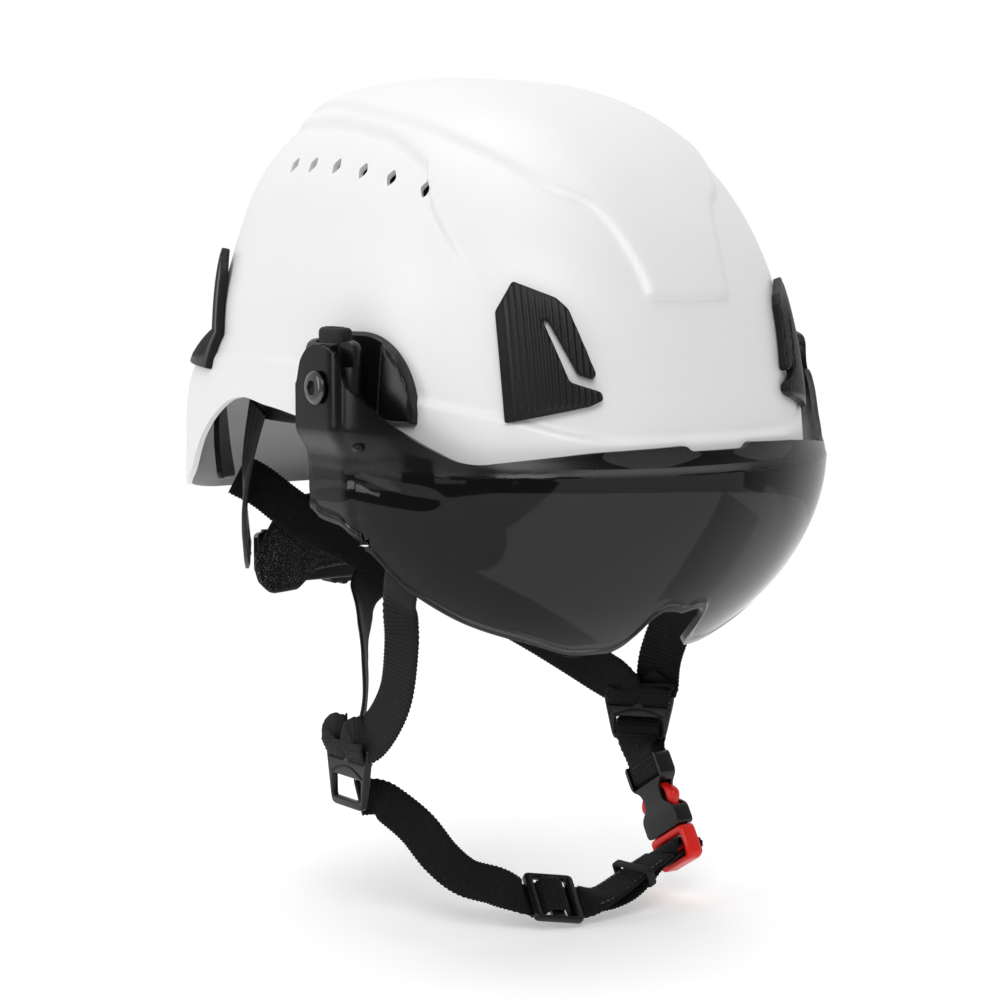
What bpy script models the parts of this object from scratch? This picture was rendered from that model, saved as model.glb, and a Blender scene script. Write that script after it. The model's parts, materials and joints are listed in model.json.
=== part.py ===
"""Climbing-style hard hat with a short smoke visor.

Metres, +Z up. -Y is the wearer's front and +X the wearer's left. The origin is the centre of the head
opening, level with the lower edge of the front brim.
"""
import math

import bmesh
import bpy
from mathutils import Matrix, Vector

GAP = 0.0003                       # between pieces that touch
COLLECTION = "hard_hat"

# Shell: a superellipsoid with its own semi-axis to the front and to the rear
SHELL_HALF_WIDTH = 0.1086
SHELL_FRONT = 0.1518
SHELL_REAR = 0.1109
SHELL_MIDDLE_Y = 0.0194
SHELL_HEIGHT = 0.1534
SHELL_LEAN = 0.0171                # rearward shift of the crown
SHELL_WALL = 0.0025
PLAN_POWER = 2.3
SIDE_POWER, FRONT_POWER, REAR_POWER = 2.86, 2.43, 2.57
FLANGE_TOP = 0.046                 # the skirt flares out below this height
FLANGE_FLARE = 0.0180
FLANGE_CURVE = 0.014
FLANGE_START, FLANGE_FULL = 98, 132            # plan angles between which the flare grows
BRIM = ((0, 0.0), (40, 0.0), (65, 0.003), (90, 0.011), (103, 0.019), (107, 0.017), (112, 0.011),
        (117, 0.001), (122, -0.014), (128, -0.020), (150, -0.026), (180, -0.028))
SHELL_COLUMNS, SHELL_ROWS = 72, 15
ROW_POWER = 1.3                    # how closely the rows gather towards the crown
SPLIT_SHARE = 0.34                 # share of the rows below the split height
VENT_PLAN_ANGLES = (56, 65, 73, 81, 88, 94)
VENT_HEIGHTS = (0.1086, 0.1133, 0.1164, 0.1186, 0.1194, 0.1196)
VENT_RADIUS = 0.0042

LINER_INSET = 0.0033               # liner's outer face below the shell's outer face
LINER_WALL = 0.012
LINER_RIM = 0.052
WEBBING_WIDTH = 0.020
WEBBING_THICKNESS = 0.0016
CROWN_INSET = 0.0225               # crown straps below the shell's outer face
CROWN_RIM = 0.0445
CROWN_FLAT = 0.026                 # half the stretch over which the crown straps lie level

# Headband: its plan follows the shell at a distance
BAND_HALF_WIDTH = 0.088
BAND_FRONT = 0.120
BAND_REAR = 0.1355
BAND_END_ANGLE = 112
BAND_HEIGHT = 0.020
BAND_WALL = 0.0018

# Visor
PIVOT = Vector((0.0, -0.040, 0.030))
VISOR_WALL = 0.0026
LENS_HALF_WIDTH = 0.1179
LENS_DEPTH = 0.0956
LENS_POWER = 1.84
LENS_TOP = 0.006
LENS_TUCK_SIDE = 0.043
LENS_TUCK_FRONT = 0.037
LENS_TUCK_POWER = 2.7
SHOULDER_SWELL = ((62, 0.0), (80, 0.0046), (90, 0.0054))   # outward, by plan angle
SHOULDER_FOOT = 0.0020             # height where the swell begins
SHOULDER_HEIGHT = 0.0125
BROW_SWELL = 0.0028                # the lens bulges ahead of its top edge
BROW_EDGE_SWELL = 0.0012
BROW_HEIGHT = -0.0020
LENS_LOWER_EDGE = ((0, -0.061), (5, -0.062), (12, -0.070), (20, -0.078), (30, -0.079), (45, -0.072),
                   (60, -0.063), (72, -0.049), (80, -0.034))
LENS_UPPER_EDGE = ((0, 0.0062), (7, 0.0062), (9, 0.0084), (13, 0.0081), (27, 0.0068), (35, 0.0055),
                   (46, 0.0032), (50, 0.0024), (54, 0.0032), (59, 0.0068), (65, 0.0123), (70, 0.0177),
                   (74, 0.0232), (80, 0.0300))
ARM_UPPER_EDGE = ((-0.0540, 0.0330), (-0.0525, 0.0405), (-0.0480, 0.0448), (-0.0400, 0.0468),
                  (-0.0320, 0.0448), (-0.0270, 0.0400), (-0.0235, 0.0310))
ARM_LOWER_EDGE = ((-0.0540, -0.0300), (-0.0440, -0.0245), (-0.0300, -0.0225), (-0.0235, -0.0190))

# Hinge housing on each side
HOUSING = ((0.1092, -0.0535, 0.0165), (0.1186, -0.0205, 0.0485))
HOUSING_RELIEF = ((0.1149, -0.0545), (0.1186, -0.0400), (0.1230, -0.0400), (0.1230, -0.0545))
HOUSING_RELIEF_HEIGHT = 0.0220     # for the raised visor's arm, above the washer
HOUSING_RELIEF_Z = 0.0491
BUTTON = ((0.1104, -0.0465, 0.0404), (0.1170, -0.0295, 0.0532))
BUTTON_PLAY = 0.00035
BUTTON_POCKET_FLOOR = 0.0352
SCREW_RADIUS = 0.0036
SCREW_HEAD_RADIUS = 0.0066
WASHER_RADIUS = 0.0078

# Nape fitting
NAPE_Z = -0.058
KNOB_RADIUS = 0.0195
KNOB_RIBS = 20
PINION_TEETH = 12
PINION_PITCH_RADIUS = 0.006
RACK_PITCH = 2 * math.pi * PINION_PITCH_RADIUS / PINION_TEETH
RACK_Y = 0.1302
RACK_THICKNESS = 0.0028
PAD_MIDDLE_Y = 0.1195              # head side of the nape pad at its middle
PAD_END_Y = 0.0955
PAD_SPREAD = 0.042
PAD_THICKNESS = 0.0065
PAD_UPPER_EDGE = ((0, -0.030), (0.045, -0.030), (0.053, -0.035), (0.060, -0.0430), (0.066, -0.0510),
                  (0.069, -0.0550))
PAD_LOWER_EDGE = ((0, -0.066), (0.029, -0.066), (0.037, -0.070), (0.044, -0.073), (0.058, -0.073),
                  (0.066, -0.068), (0.069, -0.062))

# Buckle axis
BUCKLE_TOP = Vector((0.0740, -0.0020, -0.1490))
BUCKLE_AXIS = Vector((0.0, -0.52, -0.854)).normalized()
BUCKLE_FACE = Vector((-1.0, 0.0, 0.0))
BUCKLE_LENGTH = 0.034
BUCKLE_WIDTH = 0.0245
BUCKLE_THICKNESS = 0.0086
MALE_BASE_LENGTH = 0.0165

DISC_FACE = LENS_HALF_WIDTH + SHOULDER_SWELL[-1][1]
SIDES = (("right", -1), ("left", 1))


def smooth_table(table, at):
    """Reads a table of (x, y) with a smooth curve through its points."""
    xs = [row[0] for row in table]
    ys = [row[1] for row in table]
    if at <= xs[0]:
        return ys[0]
    if at >= xs[-1]:
        return ys[-1]
    i = max(k for k in range(len(xs) - 1) if xs[k] <= at)

    def slope(k):
        if k in (0, len(xs) - 1):
            return 0.0
        left = (ys[k] - ys[k - 1]) / (xs[k] - xs[k - 1])
        right = (ys[k + 1] - ys[k]) / (xs[k + 1] - xs[k])
        return 0.0 if left * right <= 0 else 2 * left * right / (left + right)

    width = xs[i + 1] - xs[i]
    t = (at - xs[i]) / width
    return (ys[i] * (1 + 2 * t) * (1 - t) ** 2 + slope(i) * width * t * (1 - t) ** 2
            + ys[i + 1] * t * t * (3 - 2 * t) - slope(i + 1) * width * t * t * (1 - t))


def smoothstep(low, high, at):
    t = min(max((at - low) / (high - low), 0.0), 1.0)
    return t * t * (3 - 2 * t)


def signed_power(value, power):
    return math.copysign(abs(value) ** power, value)


# ------------------------------------------------------------------ surfaces

def shell_point(plan, height, inset=0.0):
    """The shell's outer face at a plan angle (0 = front, 90 = left) and a height, drawn in by inset."""
    side, ahead = math.sin(math.radians(plan)), math.cos(math.radians(plan))
    ends = FRONT_POWER if ahead > 0 else REAR_POWER
    power = SIDE_POWER * side * side + ends * ahead * ahead
    rise = min(max(height, 0.0) / (SHELL_HEIGHT - inset), 1.0)
    spread = (1 - rise ** power) ** (1 / power)
    long_axis = (SHELL_FRONT if ahead > 0 else SHELL_REAR) - inset
    x = (SHELL_HALF_WIDTH - inset) * spread * signed_power(side, 2 / PLAN_POWER)
    y = -long_axis * spread * signed_power(ahead, 2 / PLAN_POWER)
    if height < FLANGE_TOP:
        rearward = smoothstep(FLANGE_START, FLANGE_FULL, abs(plan))
        flare = rearward * FLANGE_FLARE * (1 - math.exp((height - FLANGE_TOP) / FLANGE_CURVE))
        out = Vector((x, y)).normalized() * flare
        x, y = x + out.x, y + out.y
    return Vector((x, y + SHELL_MIDDLE_Y + SHELL_LEAN * max(height, 0.0) / SHELL_HEIGHT, height))


def shell_normal(plan, height):
    step = 0.5
    along = shell_point(plan + step, height) - shell_point(plan - step, height)
    up = shell_point(plan, height + 0.0005) - shell_point(plan, height - 0.0005)
    return along.cross(up).normalized()


def row_height(share, rim, split, top):
    """Height of the grid row at share 0..1: even steps up to the split height, then by angle to the top."""
    if share <= SPLIT_SHARE:
        return rim + (split - rim) * share / SPLIT_SHARE
    turn = (share - SPLIT_SHARE) / (1 - SPLIT_SHARE)
    start = math.asin((split / top) ** ROW_POWER)
    return top * math.sin(start + (math.pi / 2 - start) * turn) ** (1 / ROW_POWER)


def dome_rows(columns, rows, rim_of, split, inset):
    """Rows of points round a dome, from its rim to just under its crown."""
    found = []
    for r in range(rows):
        row = []
        for c in range(columns):
            plan = -180 + 360 * c / columns
            height = row_height(r / rows, rim_of(plan), split, SHELL_HEIGHT - inset)
            row.append(shell_point(plan, height, inset))
        found.append(row)
    return found


def lens_point(plan, height):
    """The visor's outer face at a plan angle (0 = front, 90 = left)."""
    tuck = max((LENS_TOP - height) / 0.080, 0.0) ** LENS_TUCK_POWER
    half = LENS_HALF_WIDTH - LENS_TUCK_SIDE * tuck
    deep = LENS_DEPTH - LENS_TUCK_FRONT * tuck
    angle = math.radians(plan)
    x = half * signed_power(math.sin(angle), 2 / LENS_POWER)
    y = PIVOT.y - deep * abs(math.cos(angle)) ** (2 / LENS_POWER)
    out = Vector((x / half, (y - PIVOT.y) / deep, 0)).normalized()
    brow = BROW_EDGE_SWELL + (BROW_SWELL - BROW_EDGE_SWELL) * smoothstep(LENS_TOP, BROW_HEIGHT, height)
    brow *= smoothstep(-0.050, BROW_HEIGHT, height) * smoothstep(62, 44, abs(plan))
    return Vector((x, y, height)) + out * (brow + shoulder(abs(plan), height))


def shoulder(plan, height):
    """How far the arm's upper part stands outside the lens."""
    rise = smoothstep(SHOULDER_FOOT, SHOULDER_FOOT + SHOULDER_HEIGHT, height)
    return smooth_table(SHOULDER_SWELL, plan) * rise


def arm_point(y, height):
    """The visor's arm beside the hinge: the lens carried straight back past the pivot."""
    tuck = max((LENS_TOP - height) / 0.080, 0.0) ** LENS_TUCK_POWER
    half, deep = LENS_HALF_WIDTH - LENS_TUCK_SIDE * tuck, LENS_DEPTH - LENS_TUCK_FRONT * tuck
    ahead = min(max((PIVOT.y - y) / deep, 0.0), 1.0)
    ahead *= smoothstep(0.05, 0.15, ahead)
    x = half * (1 - ahead ** LENS_POWER) ** (1 / LENS_POWER)
    return Vector((x + shoulder(90 - 10 * min(ahead / 0.15, 1.0), height), y, height))


# ------------------------------------------------------------------ helpers

def clear_scene():
    for obj in list(bpy.data.objects):
        bpy.data.objects.remove(obj)


def make_collection(name, parent):
    collection = bpy.data.collections.new(name)
    parent.children.link(collection)
    return collection


def material(name, colour, roughness, metallic=0.0, transmission=0.0):
    made = bpy.data.materials.new(name)
    made.use_nodes = True
    shader = made.node_tree.nodes["Principled BSDF"]
    shader.inputs["Base Color"].default_value = (*colour, 1.0)
    shader.inputs["Roughness"].default_value = roughness
    shader.inputs["Metallic"].default_value = metallic
    shader.inputs["Transmission Weight"].default_value = transmission
    made.diffuse_color = (*colour, 1.0)
    return made


def finish(name, mesh, mat, matrix=None, collection=None):
    obj = bpy.data.objects.new(name, mesh)
    (collection or PARTS).objects.link(obj)
    if mat:
        mesh.materials.append(mat)
    if matrix:
        obj.matrix_world = matrix
    mesh.shade_smooth()
    mesh.set_sharp_from_angle(angle=math.radians(35))
    return obj


def from_bmesh(name, bm, mat, matrix=None, collection=None):
    bmesh.ops.recalc_face_normals(bm, faces=bm.faces)
    mesh = bpy.data.meshes.new(name)
    bm.to_mesh(mesh)
    bm.free()
    return finish(name, mesh, mat, matrix, collection)


def sheet(name, rows, mat, thickness, closed=False, pole=None, offset=-1.0):
    """An open grid of points given a wall by Solidify; a pole closes a dome at its crown."""
    bm = bmesh.new()
    grid = [[bm.verts.new(point) for point in row] for row in rows]
    wide = len(rows[0])
    for low, high in zip(grid, grid[1:]):
        for c in range(wide if closed else wide - 1):
            d = (c + 1) % wide
            bm.faces.new((low[c], low[d], high[d], high[c]))
    if pole:
        top = bm.verts.new(pole)
        for c in range(wide):
            bm.faces.new((grid[-1][c], grid[-1][(c + 1) % wide], top))
    mesh = bpy.data.meshes.new(name)
    bm.to_mesh(mesh)
    bm.free()
    obj = finish(name, mesh, mat)
    wall = obj.modifiers.new("wall", "SOLIDIFY")
    wall.thickness = thickness
    wall.offset = offset
    wall.use_even_offset = offset == 0
    return obj


def block(name, low, high, mat, bevel=0.0, segments=2, matrix=None, collection=None):
    """A box between two corners, with rounded edges."""
    low, high = Vector(low), Vector(high)
    bm = bmesh.new()
    bmesh.ops.create_cube(bm, size=1.0)
    bmesh.ops.scale(bm, vec=high - low, verts=bm.verts)
    bmesh.ops.translate(bm, vec=(low + high) / 2, verts=bm.verts)
    obj = from_bmesh(name, bm, mat, matrix, collection)
    if bevel:
        round_edges(obj, bevel, segments)
    return obj


def round_edges(obj, width, segments=2):
    bevel = obj.modifiers.new("bevel", "BEVEL")
    bevel.width = width
    bevel.segments = segments
    bevel.limit_method = "ANGLE"
    return obj


def plate(name, splines, thickness, matrix, mat, bevel=0.0):
    """A flat outline, with holes as further splines, given its thickness; local Z is across the plate."""
    curve = bpy.data.curves.new(name, "CURVE")
    curve.dimensions = "2D"
    curve.fill_mode = "BOTH"
    curve.extrude = thickness / 2
    for points in splines:
        spline = curve.splines.new("POLY")
        spline.points.add(len(points) - 1)
        for target, point in zip(spline.points, points):
            target.co = (point[0], point[1], 0.0, 1.0)
        spline.use_cyclic_u = True
    drawn = bpy.data.objects.new(name + "_outline", curve)
    PARTS.objects.link(drawn)
    mesh = bpy.data.meshes.new_from_object(drawn.evaluated_get(bpy.context.evaluated_depsgraph_get()))
    bpy.data.objects.remove(drawn)
    bm = bmesh.new()
    bm.from_mesh(mesh)
    bmesh.ops.remove_doubles(bm, verts=bm.verts, dist=1e-6)
    obj = from_bmesh(name, bm, mat, matrix)
    if bevel:
        round_edges(obj, bevel, 1)
    return obj


def cylinder(name, start, end, radius, mat, segments=24, collection=None):
    start, end = Vector(start), Vector(end)
    bm = bmesh.new()
    bmesh.ops.create_cone(bm, cap_ends=True, segments=segments, radius1=radius, radius2=radius,
                          depth=(end - start).length)
    turn = (end - start).to_track_quat("Z", "Y").to_matrix().to_4x4()
    return from_bmesh(name, bm, mat, Matrix.Translation((start + end) / 2) @ turn, collection)


def boolean(obj, other, operation="DIFFERENCE"):
    """Cuts or joins the other object, which stays as a hidden helper."""
    step = obj.modifiers.new(operation.lower(), "BOOLEAN")
    step.operation = operation
    step.solver = "EXACT"
    step.object = other
    if other.name not in HELPERS.objects:
        for collection in list(other.users_collection):
            collection.objects.unlink(other)
        HELPERS.objects.link(other)
    other.hide_render = True
    other.display_type = "WIRE"
    return obj


def curve_through(points, steps):
    """Points on a smooth curve through the given ones, with steps to each stretch."""
    points = [Vector(point) for point in points]
    found = []
    for i in range(len(points) - 1):
        before = points[max(i - 1, 0)]
        a, b = points[i], points[i + 1]
        after = points[min(i + 2, len(points) - 1)]
        for k in range(steps):
            t = k / steps
            found.append(0.5 * (2 * a + (b - before) * t + (2 * before - 5 * a + 4 * b - after) * t * t
                                + (3 * a - before - 3 * b + after) * t ** 3))
    found.append(points[-1])
    return found


def ribbon(name, route, facings, mat, width=WEBBING_WIDTH, thickness=WEBBING_THICKNESS, steps=3):
    """A flat strap along a route; it faces from the first direction to the last one on its way."""
    points = curve_through(route, steps)
    rows = []
    for i, point in enumerate(points):
        share = i / (len(points) - 1)
        along = points[min(i + 1, len(points) - 1)] - points[max(i - 1, 0)]
        facing = smooth_facing(facings, share)
        across = along.cross(facing).normalized() * width / 2
        rows.append([point - across, point + across])
    return sheet(name, rows, mat, thickness, offset=0.0)


def smooth_facing(facings, share):
    place = share * (len(facings) - 1)
    i = min(int(place), len(facings) - 2)
    return Vector(facings[i]).lerp(Vector(facings[i + 1]), place - i).normalized()


def frame_matrix(origin, across, up):
    """A matrix whose local X runs across and local Y up, with local Z facing out."""
    across = Vector(across).normalized()
    out = across.cross(Vector(up)).normalized()
    up = out.cross(across)
    turn = Matrix((across, up, out)).transposed().to_4x4()
    return Matrix.Translation(Vector(origin)) @ turn


def mirrored(point, side):
    return Vector((point[0] * side, point[1], point[2]))


# ------------------------------------------------------------------ shell and what is in it

def brim_height(plan):
    return smooth_table(BRIM, abs(plan))


def make_shell():
    rows = dome_rows(SHELL_COLUMNS, SHELL_ROWS, brim_height, FLANGE_TOP, 0.0)
    crown = Vector((0, SHELL_MIDDLE_Y + SHELL_LEAN, SHELL_HEIGHT))
    shell = sheet("shell", rows, MATERIALS["shell"], SHELL_WALL, closed=True, pole=crown)
    bm = bmesh.new()
    for side in (-1, 1):
        for plan, height in zip(VENT_PLAN_ANGLES, VENT_HEIGHTS):
            add_vent(bm, side * plan, height)
    boolean(shell, from_bmesh("vent_cutters", bm, None))


def add_vent(bm, plan, height):
    """A kite-shaped prism through the wall, longer up the slope than across it."""
    normal = shell_normal(plan, height)
    up = Vector((0, 0, 1)) - normal * normal.z
    matrix = frame_matrix(shell_point(plan, height), up.cross(normal), up)
    made = bmesh.ops.create_cone(bm, cap_ends=True, segments=4, radius1=VENT_RADIUS, radius2=VENT_RADIUS,
                                 depth=0.014)
    bmesh.ops.scale(bm, vec=(0.55, 1.15, 1.0), verts=made["verts"])
    bmesh.ops.transform(bm, matrix=matrix, verts=made["verts"])


def make_liner():
    def rim(plan):
        return LINER_RIM

    rows = dome_rows(40, 9, rim, LINER_RIM + 0.02, LINER_INSET)
    crown = Vector((0, SHELL_MIDDLE_Y + SHELL_LEAN * (1 - LINER_INSET / SHELL_HEIGHT),
                    SHELL_HEIGHT - LINER_INSET))
    liner = sheet("impact_liner", rows, MATERIALS["foam"], LINER_WALL, closed=True, pole=crown)
    bm = bmesh.new()
    for side in (-1, 1):
        for first, last in ((0, 2), (3, 5)):
            plan = side * (VENT_PLAN_ANGLES[first] + VENT_PLAN_ANGLES[last]) / 2
            height = VENT_HEIGHTS[(first + last) // 2]
            normal = shell_normal(plan, height)
            start = shell_point(side * VENT_PLAN_ANGLES[first], height)
            end = shell_point(side * VENT_PLAN_ANGLES[last], height)
            made = bmesh.ops.create_cube(bm, size=1.0)
            bmesh.ops.scale(bm, vec=((end - start).length, 0.008, 0.050), verts=made["verts"])
            up = normal.cross(end - start)
            bmesh.ops.transform(bm, matrix=frame_matrix(shell_point(plan, height), end - start, up),
                                verts=made["verts"])
    boolean(liner, from_bmesh("liner_slots", bm, None))


def crown_route(plan, lift):
    """An arch over the head from one plan angle to the opposite one, level where the straps cross."""
    halves = []
    top = SHELL_HEIGHT - CROWN_INSET
    middle = Vector((0, SHELL_MIDDLE_Y + SHELL_LEAN * top / SHELL_HEIGHT, top - 0.003 + lift))
    ahead = Vector((math.sin(math.radians(plan)), -math.cos(math.radians(plan)), 0))
    for direction, sign in ((plan, 1), (plan + 180, -1)):
        half = [shell_point((direction + 180) % 360 - 180, height, CROWN_INSET)
                for height in (CROWN_RIM, 0.060, 0.085, 0.105, 0.118)]
        halves.append(half + [middle + ahead * sign * CROWN_FLAT])
    return halves[0] + [middle] + halves[1][::-1]


CROWN_STRAPS = (("crown_strap_middle", 90, 0.0), ("crown_strap_right", 33, 0.0021),
                ("crown_strap_left", -33, 0.0042))


def make_cradle():
    for name, plan, lift in CROWN_STRAPS:
        route = crown_route(plan, lift)
        across = Vector((math.cos(math.radians(plan)), math.sin(math.radians(plan)), 0))
        rows = []
        for point in route:
            rows.append([point - across * WEBBING_WIDTH / 2, point + across * WEBBING_WIDTH / 2])
        sheet(name, rows, MATERIALS["webbing"], WEBBING_THICKNESS, offset=0.0)
        for ending, foot in zip(("front", "rear"), (route[0], route[-1])):
            side = "right" if foot.x < 0 else "left"
            label = "side" if plan == 90 else ending
            make_strap_key(f"strap_key_{label}_{side}", foot, across)
    top = SHELL_HEIGHT - CROWN_INSET
    block("crown_pad", (-0.0235, -0.0235, 0.0), (0.0235, 0.0235, 0.0060), MATERIALS["padding"], 0.0025,
          matrix=Matrix.Translation((0, SHELL_MIDDLE_Y + SHELL_LEAN * top / SHELL_HEIGHT, 0.1200)))


def make_strap_key(name, foot, across):
    """The plug under a crown strap's foot, clear of the headband and of the shell."""
    matrix = frame_matrix(foot + Vector((0, 0, -0.0008)), across, (0, 0, 1))
    block(name, (-0.011, -0.0120, -0.0022), (0.011, 0.0, 0.0022), MATERIALS["plastic"], 0.001,
          matrix=matrix)


def band_point(plan, height, inset=0.0):
    side, ahead = math.sin(math.radians(plan)), math.cos(math.radians(plan))
    long_axis = (BAND_FRONT if ahead > 0 else BAND_REAR) - inset
    return Vector(((BAND_HALF_WIDTH - inset) * signed_power(side, 2 / PLAN_POWER),
                   SHELL_MIDDLE_Y - long_axis * signed_power(ahead, 2 / PLAN_POWER), height))


def band_low(plan):
    """Lower edge of the headband: it rises over the brow."""
    return 0.0095 - 0.0030 * smoothstep(50, 5, abs(plan))


ARM_ROUTE = ((0.0880, 0.0650, 0.0150), (0.0880, 0.0710, 0.0010), (0.0862, 0.0790, -0.0140),
             (0.0822, 0.0875, -0.0280), (0.0774, 0.0958, -0.0370), (0.0720, 0.1040, -0.0450),
             (0.0665, 0.1125, -0.0520), (0.0615, 0.1200, -0.0565))


def make_headband():
    count = 41
    plans = [-BAND_END_ANGLE + 2 * BAND_END_ANGLE * c / (count - 1) for c in range(count)]
    rows = [[band_point(plan, band_low(plan) + BAND_HEIGHT * share) for plan in plans]
            for share in (0.0, 0.5, 1.0)]
    sheet("headband", rows, MATERIALS["plastic"], BAND_WALL)
    brow = [-62 + 124 * c / 16 for c in range(17)]
    inset = BAND_WALL + 0.0006
    rows = [[band_point(plan, band_low(plan) + 0.0010 + 0.0195 * share, inset) for plan in brow]
            for share in (0.0, 0.33, 0.67, 1.0)]
    sheet("brow_pad", rows, MATERIALS["padding"], 0.0045)
    for name, side in SIDES:
        ribbon(f"band_arm_{name}", [mirrored(point, side) for point in ARM_ROUTE],
               [(side, 0.10, 0), (side * 0.84, 0.54, 0), (side * 0.78, 0.62, 0)], MATERIALS["plastic"],
               width=0.0150, thickness=BAND_WALL)


# ------------------------------------------------------------------ nape fitting

def circle_points(radius, count, centre=(0.0, 0.0)):
    return [(centre[0] + radius * math.cos(2 * math.pi * k / count),
             centre[1] + radius * math.sin(2 * math.pi * k / count)) for k in range(count)]


def nape_matrix(y):
    """A plate's frame at depth y: local X to the wearer's left, local Y up."""
    return frame_matrix((0, y, NAPE_Z), (1, 0, 0), (0, 0, 1))


def pad_y(x):
    """Head side of the nape pad."""
    return PAD_END_Y + (PAD_MIDDLE_Y - PAD_END_Y) * math.exp(-(x / PAD_SPREAD) ** 2)


def make_nape_pad():
    inner, outer = [], []
    stations = (0.0, 0.010, 0.020, 0.029, 0.033, 0.037, 0.044, 0.051, 0.058, 0.0625, 0.066, 0.069)
    for x in [-x for x in stations[:0:-1]] + list(stations):
        low, high = smooth_table(PAD_LOWER_EDGE, abs(x)), smooth_table(PAD_UPPER_EDGE, abs(x))
        slope = (pad_y(x + 0.001) - pad_y(x - 0.001)) / 0.002
        normal = Vector((-slope, 1, 0)).normalized()
        columns = ([], [])
        for r in range(5):
            point = Vector((x, pad_y(x), low + (high - low) * r / 4))
            edge = 0.0012 if r in (0, 4) else 0.0
            columns[0].append(point + normal * edge)
            columns[1].append(point + normal * (PAD_THICKNESS - edge))
        inner.append(columns[0])
        outer.append(columns[1])
    closed_slab("nape_pad", inner, outer, MATERIALS["padding"])


def make_nape_fitting():
    make_nape_pad()
    half = RACK_THICKNESS / 2
    tray = block("ratchet_housing", (-0.0330, 0.1271, NAPE_Z - 0.0150),
                 (0.0330, RACK_Y + half + GAP, NAPE_Z + 0.0150), MATERIALS["plastic"], 0.0012)
    boolean(tray, block("rack_channel", (-0.070, RACK_Y - half - GAP, NAPE_Z - 0.0110),
                        (0.070, 0.1400, NAPE_Z + 0.0110), None))
    lid = block("ratchet_cover", (-0.0330, RACK_Y + half + 2 * GAP, NAPE_Z - 0.0150),
                (0.0330, 0.1340, NAPE_Z + 0.0150), MATERIALS["plastic"], 0.0005)
    boolean(lid, cylinder("cover_bore", (0, 0.130, NAPE_Z), (0, 0.138, NAPE_Z), 0.0078, None, 32))

    make_knob()
    plate("ratchet_pinion", [gear_outline()], RACK_THICKNESS, nape_matrix(RACK_Y), MATERIALS["plastic"])
    for name, side in SIDES:
        make_rack(name, side)


def gear_outline():
    """Twelve short teeth, narrower than their gaps so that they run freely in the racks."""
    tooth = 2 * math.pi / PINION_TEETH
    points = []
    for k in range(PINION_TEETH):
        middle = math.pi / 2 + k * tooth
        for radius, turn in ((0.0048, -0.17), (0.0068, -0.060), (0.0068, 0.060), (0.0048, 0.17)):
            points.append((radius * math.cos(middle + turn), radius * math.sin(middle + turn)))
    return points


def make_rack(name, side):
    """One toothed strip: the right one runs above the pinion, the left one below it."""
    flip = -1 if side > 0 else 1
    root, back = 0.0071, 0.0104
    inner, outer = -0.020, 0.048
    points = [(inner, back), (inner, root)]
    first = math.ceil(inner / RACK_PITCH)
    for k in range(first, 7):
        middle = (k + 0.5) * RACK_PITCH
        points += [(middle - 0.00095, root), (middle - 0.00040, 0.0052), (middle + 0.00040, 0.0052),
                   (middle + 0.00095, root)]
    points += [(outer, root), (outer, back)]
    outline = [(side * x, z * flip) for x, z in points]
    rack = plate(f"ratchet_rack_{name}", [outline], RACK_THICKNESS, nape_matrix(RACK_Y),
                 MATERIALS["plastic"])
    low, high = -0.0040 * flip, (back - 0.0008) * flip
    stations = [mirrored(point, side) for point in
                ((0.0443, RACK_Y, 0), (0.0488, 0.1293, 0), (0.0520, 0.1268, 0), (0.0552, 0.1232, 0),
                 (0.0588, 0.1180, 0), (0.0622, 0.1124, 0))]
    rows = [[Vector((p.x, p.y, NAPE_Z + low)), Vector((p.x, p.y, NAPE_Z + high))] for p in stations]
    boolean(rack, sheet(f"rack_tail_{name}", rows, None, BAND_WALL, offset=0.0), "UNION")
    rack.modifiers[-1].solver = "MANIFOLD"


def make_knob():
    """The ribbed knob and its hub, which reaches through the cover to the pinion."""
    outline = []
    for k in range(KNOB_RIBS * 4):
        radius = KNOB_RADIUS - (0.0011 if k % 4 in (2, 3) else 0.0)
        angle = 2 * math.pi * k / (KNOB_RIBS * 4)
        outline.append((radius * math.cos(angle), radius * math.sin(angle)))
    knob = plate("ratchet_knob", [outline], 0.0110, nape_matrix(0.1402), MATERIALS["plastic"])
    hub_end = RACK_Y + RACK_THICKNESS / 2 + GAP
    boolean(knob, cylinder("knob_hub", (0, hub_end, NAPE_Z), (0, 0.1380, NAPE_Z), 0.0074, None, 24), "UNION")


# ------------------------------------------------------------------ headlamp clips

CLIP_OUTLINE = ((-0.0106, 0.0268), (0.0050, 0.0187), (0.0091, 0.0140), (0.0174, -0.0120),
                (0.0160, -0.0137), (0.0102, -0.0110), (0.0008, 0.0109), (-0.0010, 0.0109),
                (0.0070, -0.0135), (0.0091, -0.0147), (0.0189, -0.0189), (0.0195, -0.0221),
                (0.0143, -0.0239), (-0.0181, -0.0272), (-0.0181, 0.0158))
CLIPS = (("clip_front", 31.5, 0.0455, 1), ("clip_rear", 122.0, 0.0570, -1))
CLIP_THICKNESS = 0.0036
CLIP_REACH = 0.022                 # half the height over which a clip follows the shell


def shell_under(point):
    """The shell's outer face in the same direction from its axis, at the same height."""
    wanted = math.atan2(abs(point.x), SHELL_MIDDLE_Y - point.y)
    low, high = 0.0, 180.0
    for _ in range(40):
        middle = (low + high) / 2
        found = shell_point(middle, point.z)
        if math.atan2(found.x, SHELL_MIDDLE_Y - found.y) < wanted:
            low = middle
        else:
            high = middle
    return mirrored(shell_point(low, point.z), -1 if point.x < 0 else 1)


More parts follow.
